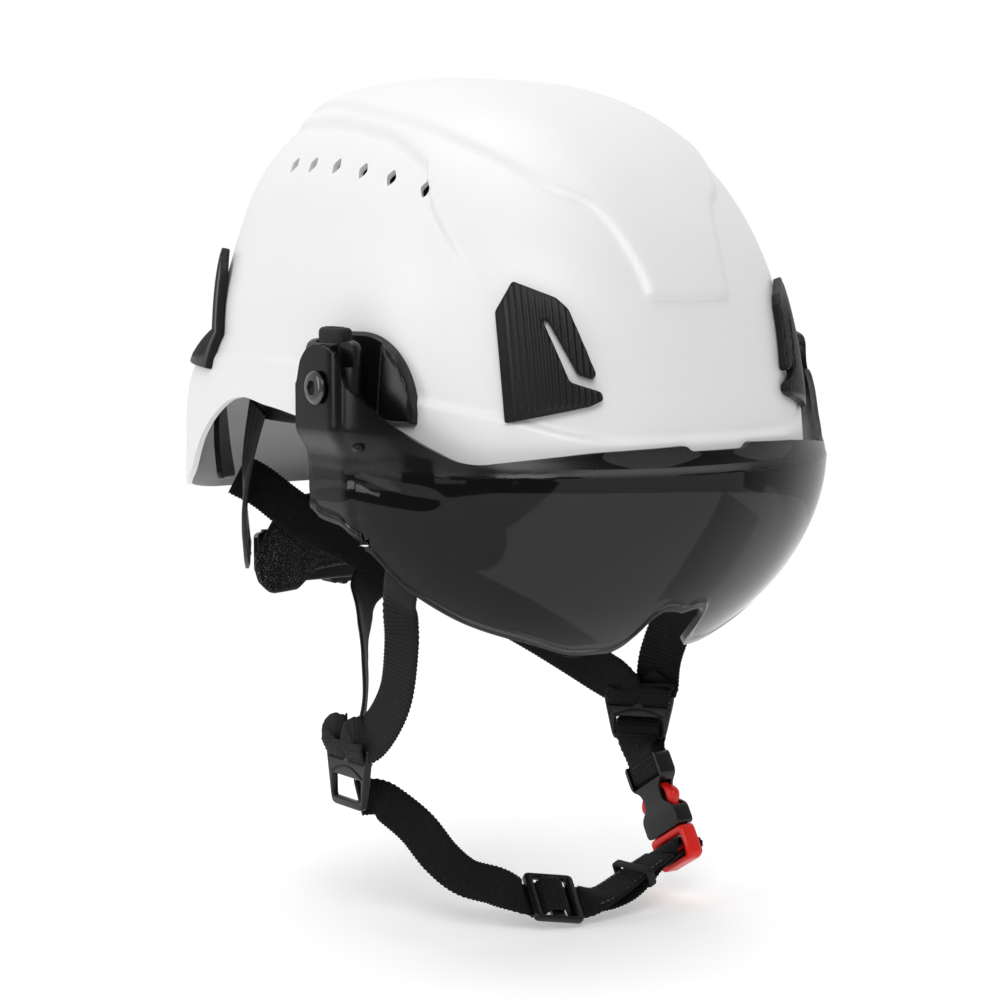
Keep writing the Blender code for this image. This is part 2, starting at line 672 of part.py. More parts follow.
def make_clips():
    """Flat hooks laid on the shell, each standing clear of it by the gap at its closest point."""
    for label, plan, height, forward in CLIPS:
        for name, side in SIDES:
            centre = shell_point(side * plan, height)
            above, below = (shell_point(side * plan, height + d) for d in (CLIP_REACH, -CLIP_REACH))
            tangent = shell_point(side * plan + 1, height) - shell_point(side * plan - 1, height)
            normal = tangent.cross(above - below).normalized()
            up = (above - below).normalized()
            toward_front = up.cross(normal)
            if toward_front.y * forward > 0:
                toward_front = -toward_front
            handed = 1 if toward_front.cross(up).dot(normal) > 0 else -1
            outline = [(x * handed, y) for x, y in CLIP_OUTLINE]
            corners = [centre + toward_front * x + up * y for x, y in CLIP_OUTLINE]
            corners += [(a + b) / 2 for a, b in zip(corners, corners[1:] + corners[:1])]
            rise = max((shell_under(corner) - corner).dot(normal) for corner in corners + [centre])
            lift = rise + CLIP_THICKNESS / 2 + 2 * GAP
            matrix = frame_matrix(centre + normal * lift, toward_front * handed, up)
            plate(f"{label}_{name}", [outline], CLIP_THICKNESS, matrix, MATERIALS["plastic"], 0.0007)


# ------------------------------------------------------------------ visor and its hinges

def visor_columns():
    """(point function, upper edge, lower edge) of each column, from the right rear to the left rear."""
    columns = []
    plans = [-80 + 160 * k / 32 for k in range(33)]
    arm = [-0.0525, -0.0480, -0.0440, -0.0400, -0.0360, -0.0320, -0.0270, -0.0235]
    for y in arm[::-1]:
        columns.append((-1, y, smooth_table(ARM_UPPER_EDGE, y), smooth_table(ARM_LOWER_EDGE, y)))
    for plan in plans:
        columns.append((0, plan, smooth_table(LENS_UPPER_EDGE, abs(plan)),
                        smooth_table(LENS_LOWER_EDGE, abs(plan))))
    for y in arm:
        columns.append((1, y, smooth_table(ARM_UPPER_EDGE, y), smooth_table(ARM_LOWER_EDGE, y)))
    return columns


def make_visor():
    rows = []
    levels = 9
    for r in range(levels + 1):
        row = []
        for side, place, upper, lower in visor_columns():
            height = lower + (upper - lower) * r / levels
            row.append(mirrored(arm_point(place, height), side) if side else lens_point(place, height))
        rows.append(row)
    visor = sheet("visor", rows, MATERIALS["smoke"], VISOR_WALL)
    for name, side in SIDES:
        boolean(visor, cylinder(f"visor_bore_{name}", (side * 0.110, PIVOT.y, PIVOT.z),
                                (side * 0.130, PIVOT.y, PIVOT.z), SCREW_RADIUS + 0.0006, None, 24))


def mirrored_block(name, low, high, side, mat, bevel=0.0, segments=2):
    xs = sorted((low[0] * side, high[0] * side))
    return block(name, (xs[0], low[1], low[2]), (xs[1], high[1], high[2]), mat, bevel, segments)


def make_hinges():
    washer_inner = HOUSING[1][0] + GAP
    washer_outer = DISC_FACE - VISOR_WALL - GAP
    for name, side in SIDES:
        housing = mirrored_block(f"hinge_housing_{name}", *HOUSING, side, MATERIALS["plastic"], 0.0045, 3)
        pocket_low = (BUTTON[0][0] - BUTTON_PLAY, BUTTON[0][1] - BUTTON_PLAY, BUTTON_POCKET_FLOOR)
        pocket_high = (BUTTON[1][0] + BUTTON_PLAY, BUTTON[1][1] + BUTTON_PLAY, 0.060)
        boolean(housing, mirrored_block(f"button_pocket_{name}", pocket_low, pocket_high, side, None))
        relief = [(side * x, y) for x, y in HOUSING_RELIEF]
        boolean(housing, plate(f"visor_relief_{name}", [relief], HOUSING_RELIEF_HEIGHT,
                               Matrix.Translation((0, 0, HOUSING_RELIEF_Z)), None))
        boolean(housing, cylinder(f"screw_bore_{name}", (side * 0.1115, PIVOT.y, PIVOT.z),
                                  (side * 0.1250, PIVOT.y, PIVOT.z), SCREW_RADIUS + GAP, None, 24))
        button = mirrored_block(f"push_button_{name}", *BUTTON, side, MATERIALS["gloss_plastic"])
        round_edges(button, 0.0016, 2)
        make_spring(f"button_spring_{name}", side)
        make_hinge_base(f"hinge_base_{name}", side)
        washer = cylinder(f"pivot_washer_{name}", (side * washer_inner, PIVOT.y, PIVOT.z),
                          (side * washer_outer, PIVOT.y, PIVOT.z), WASHER_RADIUS, MATERIALS["rubber"], 28)
        boolean(washer, cylinder(f"washer_bore_{name}", (side * 0.110, PIVOT.y, PIVOT.z),
                                 (side * 0.130, PIVOT.y, PIVOT.z), SCREW_RADIUS + 0.0004, None, 24))
        make_screw(f"pivot_screw_{name}", side)


def make_screw(name, side):
    head = DISC_FACE + GAP
    screw = cylinder(name, (side * head, PIVOT.y, PIVOT.z), (side * (head + 0.0026), PIVOT.y, PIVOT.z),
                     SCREW_HEAD_RADIUS, MATERIALS["steel"], 24)
    boolean(screw, cylinder(name + "_shank", (side * 0.1125, PIVOT.y, PIVOT.z),
                            (side * (head + 0.001), PIVOT.y, PIVOT.z), SCREW_RADIUS, None, 20), "UNION")
    boolean(screw, cylinder(name + "_socket", (side * (head + 0.0010), PIVOT.y, PIVOT.z),
                            (side * (head + 0.0050), PIVOT.y, PIVOT.z), 0.0034, None, 6))


def make_spring(name, side):
    """Four turns of wire between the pocket's floor and the button."""
    turns, steps, radius, wire = 4, 8, 0.0021, 0.0003
    low, high = BUTTON_POCKET_FLOOR + wire + GAP, BUTTON[0][2] - wire - GAP
    curve = bpy.data.curves.new(name, "CURVE")
    curve.dimensions = "3D"
    curve.bevel_depth = wire
    curve.bevel_resolution = 0
    curve.use_fill_caps = True
    spline = curve.splines.new("POLY")
    spline.points.add(turns * steps)
    for k, point in enumerate(spline.points):
        angle = 2 * math.pi * k / steps
        point.co = (radius * math.cos(angle), radius * math.sin(angle),
                    low + (high - low) * k / (turns * steps), 1.0)
    obj = bpy.data.objects.new(name, curve)
    obj.location = (side * (BUTTON[0][0] + BUTTON[1][0]) / 2, (BUTTON[0][1] + BUTTON[1][1]) / 2, 0)
    curve.materials.append(MATERIALS["steel"])
    PARTS.objects.link(obj)


def make_hinge_base(name, side):
    """The plate that hugs the shell under the hinge, rising to a quarter-round fairing ahead of it."""
    low, rear, turn, front, height = 0.0160, -0.0200, -0.038, -0.0670, 0.0350
    inner, outer = [], []
    count = 13
    for c in range(count):
        y = rear + (front + 0.0008 - rear) * c / (count - 1)
        round_share = max((turn - y) / (turn - front), 0.0)
        rise = height * math.sqrt(max(1 - round_share ** 2, 0.003))
        thick = 0.0017 + 0.0043 * smoothstep(-0.0540, -0.0580, y)
        inner_row, outer_row = [], []
        for r in range(5):
            z = low + rise * r / 4
            plan = plan_of(y, z)
            surface, normal = shell_point(plan, z), shell_normal(plan, z)
            edge = thick * (0.55 if r == 4 and thick > 0.003 else 1.0)
            inner_row.append(mirrored(surface + normal * 0.0005, side))
            outer_row.append(mirrored(surface + normal * (0.0005 + edge), side))
        inner.append(inner_row)
        outer.append(outer_row)
    closed_slab(name, inner, outer, MATERIALS["plastic"])


def plan_of(y, height):
    """The plan angle at which the shell's left side reaches this y at this height."""
    low, high = 20.0, 160.0
    for _ in range(40):
        middle = (low + high) / 2
        if shell_point(middle, height).y < y:
            low = middle
        else:
            high = middle
    return low


def closed_slab(name, inner, outer, mat):
    """A solid between two matching grids, for a piece whose thickness changes."""
    bm = bmesh.new()
    sides = [[[bm.verts.new(point) for point in row] for row in grid] for grid in (inner, outer)]
    tall, wide = len(inner), len(inner[0])
    for grid in sides:
        for r in range(tall - 1):
            for c in range(wide - 1):
                bm.faces.new((grid[r][c], grid[r][c + 1], grid[r + 1][c + 1], grid[r + 1][c]))
    rim = ([(0, c) for c in range(wide)] + [(r, wide - 1) for r in range(1, tall)]
           + [(tall - 1, c) for c in range(wide - 2, -1, -1)] + [(r, 0) for r in range(tall - 2, 0, -1)])
    for (r, c), (s, d) in zip(rim, rim[1:] + rim[:1]):
        bm.faces.new((sides[0][r][c], sides[0][s][d], sides[1][s][d], sides[1][r][c]))
    from_bmesh(name, bm, mat)


# ------------------------------------------------------------------ chin harness

FRONT_ROUTES = {
    "right": ((-0.0860, -0.0540, -0.0270), (-0.0825, -0.0370, -0.0500), (-0.0785, -0.0300, -0.0620),
              (-0.0780, -0.0300, -0.0760), (-0.0780, -0.0264, -0.0960), (-0.0780, -0.0174, -0.1100),
              (-0.0780, -0.0060, -0.1195)),
    "left": ((0.0880, -0.0500, -0.0290), (0.0880, -0.0396, -0.0440), (0.0870, -0.0228, -0.0650),
             (0.0860, -0.0070, -0.0840), (0.0830, -0.0005, -0.1020), (0.0805, -0.0010, -0.1165)),
}
REAR_ROUTES = {
    "right": ((-0.0755, 0.1050, -0.0180), (-0.0661, 0.1000, -0.0240), (-0.0485, 0.0955, -0.0380),
              (-0.0272, 0.0915, -0.0494), (-0.0082, 0.0878, -0.0606), (0.0114, 0.0835, -0.0694),
              (0.0273, 0.0740, -0.0767), (0.0454, 0.0560, -0.0896), (0.0561, 0.0395, -0.0997),
              (0.0655, 0.0235, -0.1095)),
    "left": ((0.0755, 0.1050, -0.0180), (0.0661, 0.1000, -0.0240), (0.0485, 0.0970, -0.0380),
             (0.0272, 0.0960, -0.0494), (0.0082, 0.0948, -0.0606), (-0.0114, 0.0935, -0.0700),
             (-0.0200, 0.0885, -0.0750), (-0.0300, 0.0740, -0.0815), (-0.0430, 0.0530, -0.0890),
             (-0.0550, 0.0330, -0.0985), (-0.0670, 0.0160, -0.1130), (-0.0755, 0.0120, -0.1215)),
}
REAR_FACINGS = {"right": [(0.3, -0.95, 0), (0.1, -1.0, 0), (0.0, -1.0, 0), (-0.7, -0.7, 0), (-0.8, -0.6, 0)],
                "left": [(-0.3, -0.95, 0), (-0.1, -1.0, 0), (0.0, -1.0, 0), (0.7, -0.7, 0), (1.0, -0.1, 0)]}
FRONT_FACINGS = {"right": [(1.0, 0.3, 0), (1.0, 0.0, 0)], "left": [(-0.9, -0.4, 0), (-0.8, -0.6, 0)]}
DIVIDERS = {"right": ((-0.0780, 0.0100, -0.1385), (0, -1, 0), 1.25),
            "left": ((0.0748, 0.0045, -0.1300), (0.6, -0.8, 0), 1.0)}   # middle, across, height share
DIVIDER_THICKNESS = 0.0030
DIVIDER_OUTLINE = ((-0.0165, 0.0095), (-0.0150, 0.0115), (0.0150, 0.0115), (0.0165, 0.0095),
                   (0.0125, -0.0085), (0.0110, -0.0105), (-0.0110, -0.0105), (-0.0125, -0.0085))
DIVIDER_SLOTS = (((-0.0145, 0.0086), (-0.0020, 0.0086), (-0.0020, 0.0058), (-0.0140, 0.0058)),
                 ((0.0020, 0.0086), (0.0145, 0.0086), (0.0140, 0.0058), (0.0020, 0.0058)),
                 ((-0.0108, 0.0000), (0.0108, 0.0000), (0.0106, -0.0075), (-0.0106, -0.0075)))
DIVIDER_BAR = -0.0090
CHIN_ROUTE = ((-0.0735, 0.0100, -0.1480), (-0.0650, 0.0085, -0.1490), (-0.0580, 0.0065, -0.1540),
              (-0.0495, 0.0010, -0.1630), (-0.0410, -0.0045, -0.1760), (-0.0325, -0.0103, -0.1845),
              (-0.0220, -0.0170, -0.1885), (-0.0134, -0.0230, -0.1930))
CHIN_FACINGS = [(-0.50, -0.55, 0.65), (-0.50, -0.55, 0.65), (-0.45, -0.60, 0.60)]
CHIN_END_ROUTE = ((0.0180, -0.0300, -0.1985), (0.0280, -0.0305, -0.1970), (0.0400, -0.0300, -0.1925),
                  (0.0520, -0.0290, -0.1880), (0.0610, -0.0270, -0.1855))
CHIN_END_FACINGS = [(-0.45, -0.55, 0.70), (-0.20, -0.25, 0.95)]
KEEPER_SHARE = 0.62                # where the keeper sits on the strap's end


def route_frame(route, facings, share, steps=3):
    """Where a strap is at a share of its way: its point, its direction and the way it faces."""
    points = curve_through(route, steps)
    i = round(share * (len(points) - 1))
    along = (points[min(i + 1, len(points) - 1)] - points[max(i - 1, 0)]).normalized()
    across = along.cross(smooth_facing(facings, share)).normalized()
    return points[i], along, across


def make_harness():
    for name, side in SIDES:
        ribbon(f"front_strap_{name}", FRONT_ROUTES[name], FRONT_FACINGS[name], MATERIALS["webbing"])
        ribbon(f"rear_strap_{name}", REAR_ROUTES[name], REAR_FACINGS[name], MATERIALS["webbing"])
        make_hangers(name, side)
        origin, across, size = DIVIDERS[name]
        matrix = frame_matrix(origin, across, (0, 0, 1))
        splines = [[(x, y * size) for x, y in spline] for spline in (DIVIDER_OUTLINE, *DIVIDER_SLOTS)]
        plate(f"strap_divider_{name}", splines, DIVIDER_THICKNESS, matrix, MATERIALS["plastic"])
    ribbon("chin_strap", CHIN_ROUTE, CHIN_FACINGS, MATERIALS["webbing"])
    ribbon("chin_strap_end", CHIN_END_ROUTE, CHIN_END_FACINGS, MATERIALS["webbing"], width=0.0180)
    make_adjuster()
    make_buckle_loop()
    make_buckle()


def make_hangers(name, side):
    """Plastic tabs that hang inside the shell and end in a bar for the strap."""
    front = [mirrored(point, side) for point in ((0.0905, -0.0600, 0.0080), (0.0890, -0.0590, -0.0060),
                                                 (0.0875, -0.0575, -0.0220))]
    ribbon(f"front_hanger_{name}", front, [(side, -0.25, 0), (side, -0.25, 0)], MATERIALS["plastic"],
           width=0.0150, thickness=0.0026, steps=2)
    rear = [mirrored(point, side) for point in ((0.0800, 0.1120, 0.0140), (0.0795, 0.1115, -0.0040),
                                                (0.0785, 0.1095, -0.0200))]
    ribbon(f"rear_hanger_{name}", rear, [(side * 0.72, 0.69, 0), (side * 0.6, 0.8, 0)],
           MATERIALS["plastic"], width=0.0150, thickness=0.0026, steps=2)


def make_adjuster():
    """The ladder lock between the chin strap and its end, and the keeper round the end."""
    start, _, across_start = route_frame(CHIN_ROUTE, CHIN_FACINGS, 1.0)
    end, _, across_end = route_frame(CHIN_END_ROUTE, CHIN_END_FACINGS, 0.0)
    matrix = frame_matrix((start + end) / 2, end - start, across_start + across_end)
    slots = [[(x - 0.0024, -0.0104), (x + 0.0024, -0.0104), (x + 0.0024, 0.0104), (x - 0.0024, 0.0104)]
             for x in (-0.0055, 0.0055)]
    outline = [(-0.0105, -0.0125), (0.0105, -0.0125), (0.0118, -0.0110), (0.0118, 0.0110),
               (0.0105, 0.0125), (-0.0105, 0.0125), (-0.0118, 0.0110), (-0.0118, -0.0110)]
    plate("chin_adjuster", [outline, *slots], 0.0036, matrix, MATERIALS["plastic"])
    centre, along, across = route_frame(CHIN_END_ROUTE, CHIN_END_FACINGS, KEEPER_SHARE)
    keeper = frame_matrix(centre, along, across)
    ring = block("strap_keeper", (-0.0020, -0.0118, -0.0042), (0.0020, 0.0118, 0.0042),
                 MATERIALS["plastic"], 0.0008, matrix=keeper)
    boolean(ring, block("keeper_slot", (-0.0100, -0.0104, -0.0028), (0.0100, 0.0104, 0.0028), None,
                        matrix=keeper))


LOOP_STEPS = 32
LOOP_TURN = 0.12                   # share of the loop's way round that each turn takes
LOOP_HALF_TOP = 0.0044
LOOP_HALF_BOTTOM = 0.0030
LOOP_BAR_DEPTH = 0.0062            # from the buckle's top to the middle of the loop's lower turn


def make_buckle_loop():
    """Webbing from the left divider's lower bar to the buckle's bar, turning on its way."""
    top = Vector(DIVIDERS["left"][0]) + Vector((0, 0, DIVIDER_BAR))
    bottom = BUCKLE_TOP + BUCKLE_AXIS * LOOP_BAR_DEPTH
    leg = 0.5 - LOOP_TURN
    rows = []
    for k in range(LOOP_STEPS):
        place = k / LOOP_STEPS
        if place < leg:
            share, turn = place / leg, 0.0
        elif place < 0.5:
            share, turn = 1.0, (place - leg) / LOOP_TURN * math.pi
        elif place < 0.5 + leg:
            share, turn = 1 - (place - 0.5) / leg, math.pi
        else:
            share, turn = 0.0, math.pi + (place - 0.5 - leg) / LOOP_TURN * math.pi
        half = LOOP_HALF_TOP + (LOOP_HALF_BOTTOM - LOOP_HALF_TOP) * share
        twist = smoothstep(0, 0.6, share)
        facing = Vector((-0.8, -0.6, 0)).lerp(BUCKLE_FACE, twist).normalized()
        along = Vector((0, 0, -1)).lerp(BUCKLE_AXIS, twist).normalized()
        across = along.cross(facing).normalized()
        facing = across.cross(along)
        centre = top.lerp(bottom, share) + facing * half * math.cos(turn) + along * half * math.sin(turn)
        rows.append([centre - across * WEBBING_WIDTH / 2, centre + across * WEBBING_WIDTH / 2])
    rows = [list(column) for column in zip(*rows)]
    sheet("buckle_loop", rows, MATERIALS["webbing"], 0.0014, closed=True, offset=0.0)


def make_buckle():
    """The buckle's two halves: local X across, local Y towards the divider, local Z facing out."""
    frame = frame_matrix(BUCKLE_TOP, BUCKLE_FACE.cross(BUCKLE_AXIS), -BUCKLE_AXIS)
    half, thick = BUCKLE_WIDTH / 2, BUCKLE_THICKNESS / 2
    foot = -BUCKLE_LENGTH
    female = block("buckle_female", (-half, foot, -thick), (half, 0.0010, thick),
                   MATERIALS["gloss_plastic"], 0.0016, matrix=frame)
    cuts = (("female_cavity", (-0.0100, -0.0600, -0.0024), (0.0100, -0.0122, 0.0024)),
            ("female_strap_slot", (-0.0106, -0.0105, -0.0200), (0.0106, -0.0072, 0.0200)),
            ("female_bar_relief_front", (-0.0106, -0.0080, 0.0012), (0.0106, 0.0100, 0.0200)),
            ("female_bar_relief_back", (-0.0106, -0.0080, -0.0200), (0.0106, 0.0100, -0.0012)),
            ("female_window_right", (-0.0300, -0.0240, -0.0024), (-0.0075, -0.0145, 0.0024)),
            ("female_window_left", (0.0075, -0.0240, -0.0024), (0.0300, -0.0145, 0.0024)))
    for name, low, high in cuts:
        boolean(female, block(name, low, high, None, matrix=frame))
    base = block("buckle_male", (-half, foot - MALE_BASE_LENGTH, -thick), (half, foot - GAP, thick),
                 MATERIALS["red"], 0.0014, matrix=frame)
    boolean(base, block("male_strap_slot", (-0.0096, foot - MALE_BASE_LENGTH + 0.0035, -0.0200),
                        (0.0096, foot - 0.0050, 0.0200), None, matrix=frame))
    prongs = (("right", -0.0093, -0.0058, -0.0150), ("left", 0.0058, 0.0093, -0.0150),
              ("guide", -0.0013, 0.0013, -0.0230))
    for label, low, high, tip in prongs:
        prong = block(f"male_prong_{label}", (low, foot - 0.0030, -0.0019), (high, tip, 0.0019),
                      None, 0.0005, matrix=frame)
        boolean(base, prong, "UNION")


clear_scene()
ROOT = make_collection(COLLECTION, bpy.context.scene.collection)
PARTS = ROOT
HELPERS = make_collection("cutters", bpy.context.scene.collection)
MATERIALS = {
    "shell": material("white_shell", (0.86, 0.86, 0.86), 0.38),
    "foam": material("black_foam", (0.03, 0.03, 0.03), 0.90),
    "plastic": material("black_plastic", (0.020, 0.020, 0.020), 0.48),
    "gloss_plastic": material("black_gloss_plastic", (0.015, 0.015, 0.015), 0.30),
    "smoke": material("smoke_polycarbonate", (0.10, 0.10, 0.10), 0.12, transmission=0.8),
    "webbing": material("black_webbing", (0.014, 0.014, 0.014), 0.80),
    "padding": material("black_padding", (0.030, 0.030, 0.030), 0.95),
    "rubber": material("black_rubber", (0.030, 0.030, 0.030), 0.75),
    "red": material("red_acetal", (0.62, 0.02, 0.01), 0.35),
    "steel": material("steel", (0.35, 0.35, 0.35), 0.30, metallic=1.0),
}
make_shell()
make_liner()
make_cradle()
make_headband()
make_nape_fitting()
make_clips()
make_visor()
make_hinges()
make_harness()
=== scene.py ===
"""Looks for the hard hat: moulded surfaces, smoke visor, woven webbing and padded fabric."""
import json
import math

import bmesh
import bpy
import numpy as np
from mathutils import Matrix, Vector

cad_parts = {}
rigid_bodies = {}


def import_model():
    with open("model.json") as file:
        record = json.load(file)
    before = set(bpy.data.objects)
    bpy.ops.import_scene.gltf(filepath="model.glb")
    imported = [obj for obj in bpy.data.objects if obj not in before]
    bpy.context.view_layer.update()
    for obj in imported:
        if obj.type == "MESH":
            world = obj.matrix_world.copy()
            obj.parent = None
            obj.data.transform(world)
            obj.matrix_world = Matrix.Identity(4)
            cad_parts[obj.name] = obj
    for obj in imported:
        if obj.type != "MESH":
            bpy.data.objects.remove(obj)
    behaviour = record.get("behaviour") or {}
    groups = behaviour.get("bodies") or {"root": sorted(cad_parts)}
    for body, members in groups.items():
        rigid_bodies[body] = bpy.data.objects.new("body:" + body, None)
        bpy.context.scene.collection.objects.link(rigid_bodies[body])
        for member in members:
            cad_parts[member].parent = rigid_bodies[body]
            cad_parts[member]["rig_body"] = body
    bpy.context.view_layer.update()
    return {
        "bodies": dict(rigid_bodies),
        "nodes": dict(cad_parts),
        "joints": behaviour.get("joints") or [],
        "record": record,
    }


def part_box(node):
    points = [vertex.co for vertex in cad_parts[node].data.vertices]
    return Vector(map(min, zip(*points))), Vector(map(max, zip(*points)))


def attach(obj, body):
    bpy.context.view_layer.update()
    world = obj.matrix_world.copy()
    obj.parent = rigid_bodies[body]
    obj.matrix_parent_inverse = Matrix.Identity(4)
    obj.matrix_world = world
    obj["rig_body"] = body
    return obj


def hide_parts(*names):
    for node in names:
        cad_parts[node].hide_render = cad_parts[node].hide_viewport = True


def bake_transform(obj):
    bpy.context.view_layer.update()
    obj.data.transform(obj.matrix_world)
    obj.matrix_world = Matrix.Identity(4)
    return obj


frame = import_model()
NODES = frame["nodes"]
ROOT = "helmet"
SIDES = (("right", -1), ("left", 1))

# ------------------------------------------------------------------ dimensions, in metres and degrees
SHELL_A, SHELL_FRONT, SHELL_REAR = 0.1086, 0.1518, 0.1109
SHELL_Y, SHELL_TOP, SHELL_LEAN, SHELL_WALL = 0.0194, 0.1534, 0.0171, 0.0025
PLAN_POWER, SIDE_POWER, FRONT_POWER, REAR_POWER = 2.3, 2.86, 2.43, 2.57
FLANGE_TOP, FLANGE_FLARE, FLANGE_CURVE = 0.046, 0.0180, 0.014
BRIM = ((0, 0.0), (40, 0.0), (65, 0.006), (80, 0.0140), (90, 0.0188), (98, 0.0212), (104, 0.0195),
        (110, 0.0135), (117, 0.001), (122, -0.014), (128, -0.020), (150, -0.026), (180, -0.028))
VENTS = tuple(zip((56, 65, 73, 81, 88, 94), (0.1086, 0.1133, 0.1164, 0.1186, 0.1194, 0.1196)))
VENT_DEPTHS = (-0.0100, 0.0060)     # of a vent's cutter, below and above the shell's face
CROWN_EDGE = ((-0.132, 0.0200), (-0.116, 0.0200), (-0.103, 0.0245), (-0.093, 0.0300), (-0.082, 0.0420),
              (-0.056, 0.0550), (-0.040, 0.0600), (0.001, 0.0650), (0.052, 0.0580), (0.090, 0.0480),
              (0.135, 0.0400))                     # y, half-width of the raised crown
TONGUE_FOOT = 0.0650
RECESS_EDGE = ((26, 0.040), (35.6, 0.067), (45, 0.093), (48, 0.103), (51, 0.118), (69, 0.131),
               (106, 0.137), (180, 0.134))         # polar angle from the front, height
CREASE = ((0, 0.011), (16, 0.011), (34, 0.020), (60, 0.030), (90, 0.0385), (115, 0.0375),
          (140, 0.032), (180, 0.030))              # polar angle, height of the lower band's edge
PIVOT = Vector((0.0, -0.040, 0.030))
LENS_A, LENS_B, LENS_POWER, LENS_TOP = 0.1179, 0.0956, 1.84, 0.006
TUCK_A, TUCK_B, TUCK_POWER = 0.043, 0.037, 2.7
VISOR_WALL = 0.0026
LENS_LOWER = ((0, -0.0605), (4, -0.0594), (7, -0.0592), (9.5, -0.0622), (12, -0.0695), (15, -0.0755),
              (20, -0.0785), (30, -0.0790), (45, -0.0718), (60, -0.0633), (72, -0.0489), (80, -0.0335))
LENS_UPPER = ((0, 0.0062), (7.5, 0.0062), (9.5, 0.0084), (13, 0.0081), (27, 0.0068), (35, 0.0055),
              (46, 0.0032), (50, 0.0024), (54, 0.0032), (59, 0.0068), (65, 0.0123), (70, 0.0177),
              (74, 0.0232), (80, 0.0300))
SHOULDER_SWELL = ((62, 0.0), (80, 0.0046), (90, 0.0054))
NAPE_Z = -0.058
BUCKLE_TOP = Vector((0.0740, -0.0020, -0.1490))
BUCKLE_AXIS = Vector((0.0, -0.52, -0.854)).normalized()
BUCKLE_LENGTH = 0.034
FLANGE_START, FLANGE_FULL = 98, 132
CROWN_INSET, CROWN_RIM, CROWN_FLAT = 0.0225, 0.0445, 0.026
CROWN_STRAPS = (("crown_strap_middle", 90, 0.0), ("crown_strap_right", 33, 0.0021),
                ("crown_strap_left", -33, 0.0042))
BAND_HALF_WIDTH, BAND_FRONT, BAND_REAR = 0.088, 0.120, 0.1355
BAND_END, BAND_HEIGHT, BAND_WALL = 112, 0.020, 0.0018
ARM_ROUTE = ((0.0880, 0.0650, 0.0150), (0.0880, 0.0710, 0.0010), (0.0862, 0.0790, -0.0140),
             (0.0822, 0.0875, -0.0280), (0.0774, 0.0958, -0.0370), (0.0720, 0.1040, -0.0450),
             (0.0665, 0.1125, -0.0520), (0.0615, 0.1200, -0.0565))
PAD_MIDDLE_Y, PAD_END_Y, PAD_SPREAD, PAD_THICKNESS = 0.1195, 0.0955, 0.042, 0.0065
PAD_UPPER = ((0, -0.030), (0.045, -0.030), (0.053, -0.035), (0.060, -0.0430), (0.066, -0.0510),
             (0.069, -0.0550))
PAD_LOWER = ((0, -0.066), (0.029, -0.066), (0.037, -0.070), (0.044, -0.073), (0.058, -0.073),
             (0.066, -0.068), (0.069, -0.062))
KNOB_RADIUS, KNOB_RIBS = 0.0195, 20
CLIP_OUTLINE = ((-0.0106, 0.0268), (0.0050, 0.0187), (0.0091, 0.0140), (0.0174, -0.0120),
                (0.0160, -0.0137), (0.0102, -0.0110), (0.0008, 0.0109), (-0.0010, 0.0109),
                (0.0070, -0.0135), (0.0091, -0.0147), (0.0189, -0.0189), (0.0195, -0.0221),
                (0.0143, -0.0239), (-0.0181, -0.0272), (-0.0181, 0.0158))
CLIPS = (("clip_front", 31.5, 0.0455, 1), ("clip_rear", 122.0, 0.0560, -1))
CLIP_THICKNESS = 0.0036
SHOULDER_FOOT, SHOULDER_HEIGHT = 0.0020, 0.0125
BROW_SWELL, BROW_EDGE_SWELL, BROW_HEIGHT = 0.0028, 0.0012, -0.0020
BAND_FOOT = -0.0016                # where the lens's upper band begins
ARM_UPPER = ((-0.0540, 0.0330), (-0.0525, 0.0405), (-0.0480, 0.0448), (-0.0400, 0.0468),
             (-0.0320, 0.0448), (-0.0270, 0.0400), (-0.0235, 0.0310))
ARM_LOWER = ((-0.0540, -0.0300), (-0.0440, -0.0245), (-0.0300, -0.0225), (-0.0235, -0.0190))
DISC_FACE = LENS_A + SHOULDER_SWELL[-1][1]
HOUSING = ((0.1092, -0.0535, 0.0165), (0.1186, -0.0205, 0.0485))
RELIEF_HEIGHTS = (0.0381, 0.0601)
HOUSING_RELIEF = ((0.1149, -0.0545), (0.1186, -0.0400), (0.1230, -0.0400), (0.1230, -0.0545))
BUTTON = ((0.1104, -0.0465, 0.0404), (0.1170, -0.0295, 0.0532))
BUCKLE_FACE = Vector((-1.0, 0.0, 0.0))
BUCKLE_FACE_ACROSS = BUCKLE_FACE.cross(BUCKLE_AXIS)
LOOP_TURN, LOOP_BAR_DEPTH, LOOP_TOP = 0.12, 0.0062, -0.0052
RIB, RIB_STEPS = 0.0017, 4                       # spacing of webbing's ribs, and steps in each
WEBBING_WIDTH, WEBBING_THICKNESS, CHIN_WIDTH = 0.020, 0.0015, 0.0178
FRONT_ROUTES = {
    "right": ((-0.0860, -0.0540, -0.0270), (-0.0825, -0.0370, -0.0500), (-0.0785, -0.0300, -0.0620),
              (-0.0780, -0.0300, -0.0760), (-0.0780, -0.0264, -0.0960), (-0.0780, -0.0174, -0.1100),
              (-0.0780, -0.0060, -0.1195)),
    "left": ((0.0880, -0.0500, -0.0290), (0.0880, -0.0396, -0.0440), (0.0870, -0.0228, -0.0650),
             (0.0860, -0.0070, -0.0840), (0.0830, -0.0005, -0.1020), (0.0805, -0.0010, -0.1165)),
}
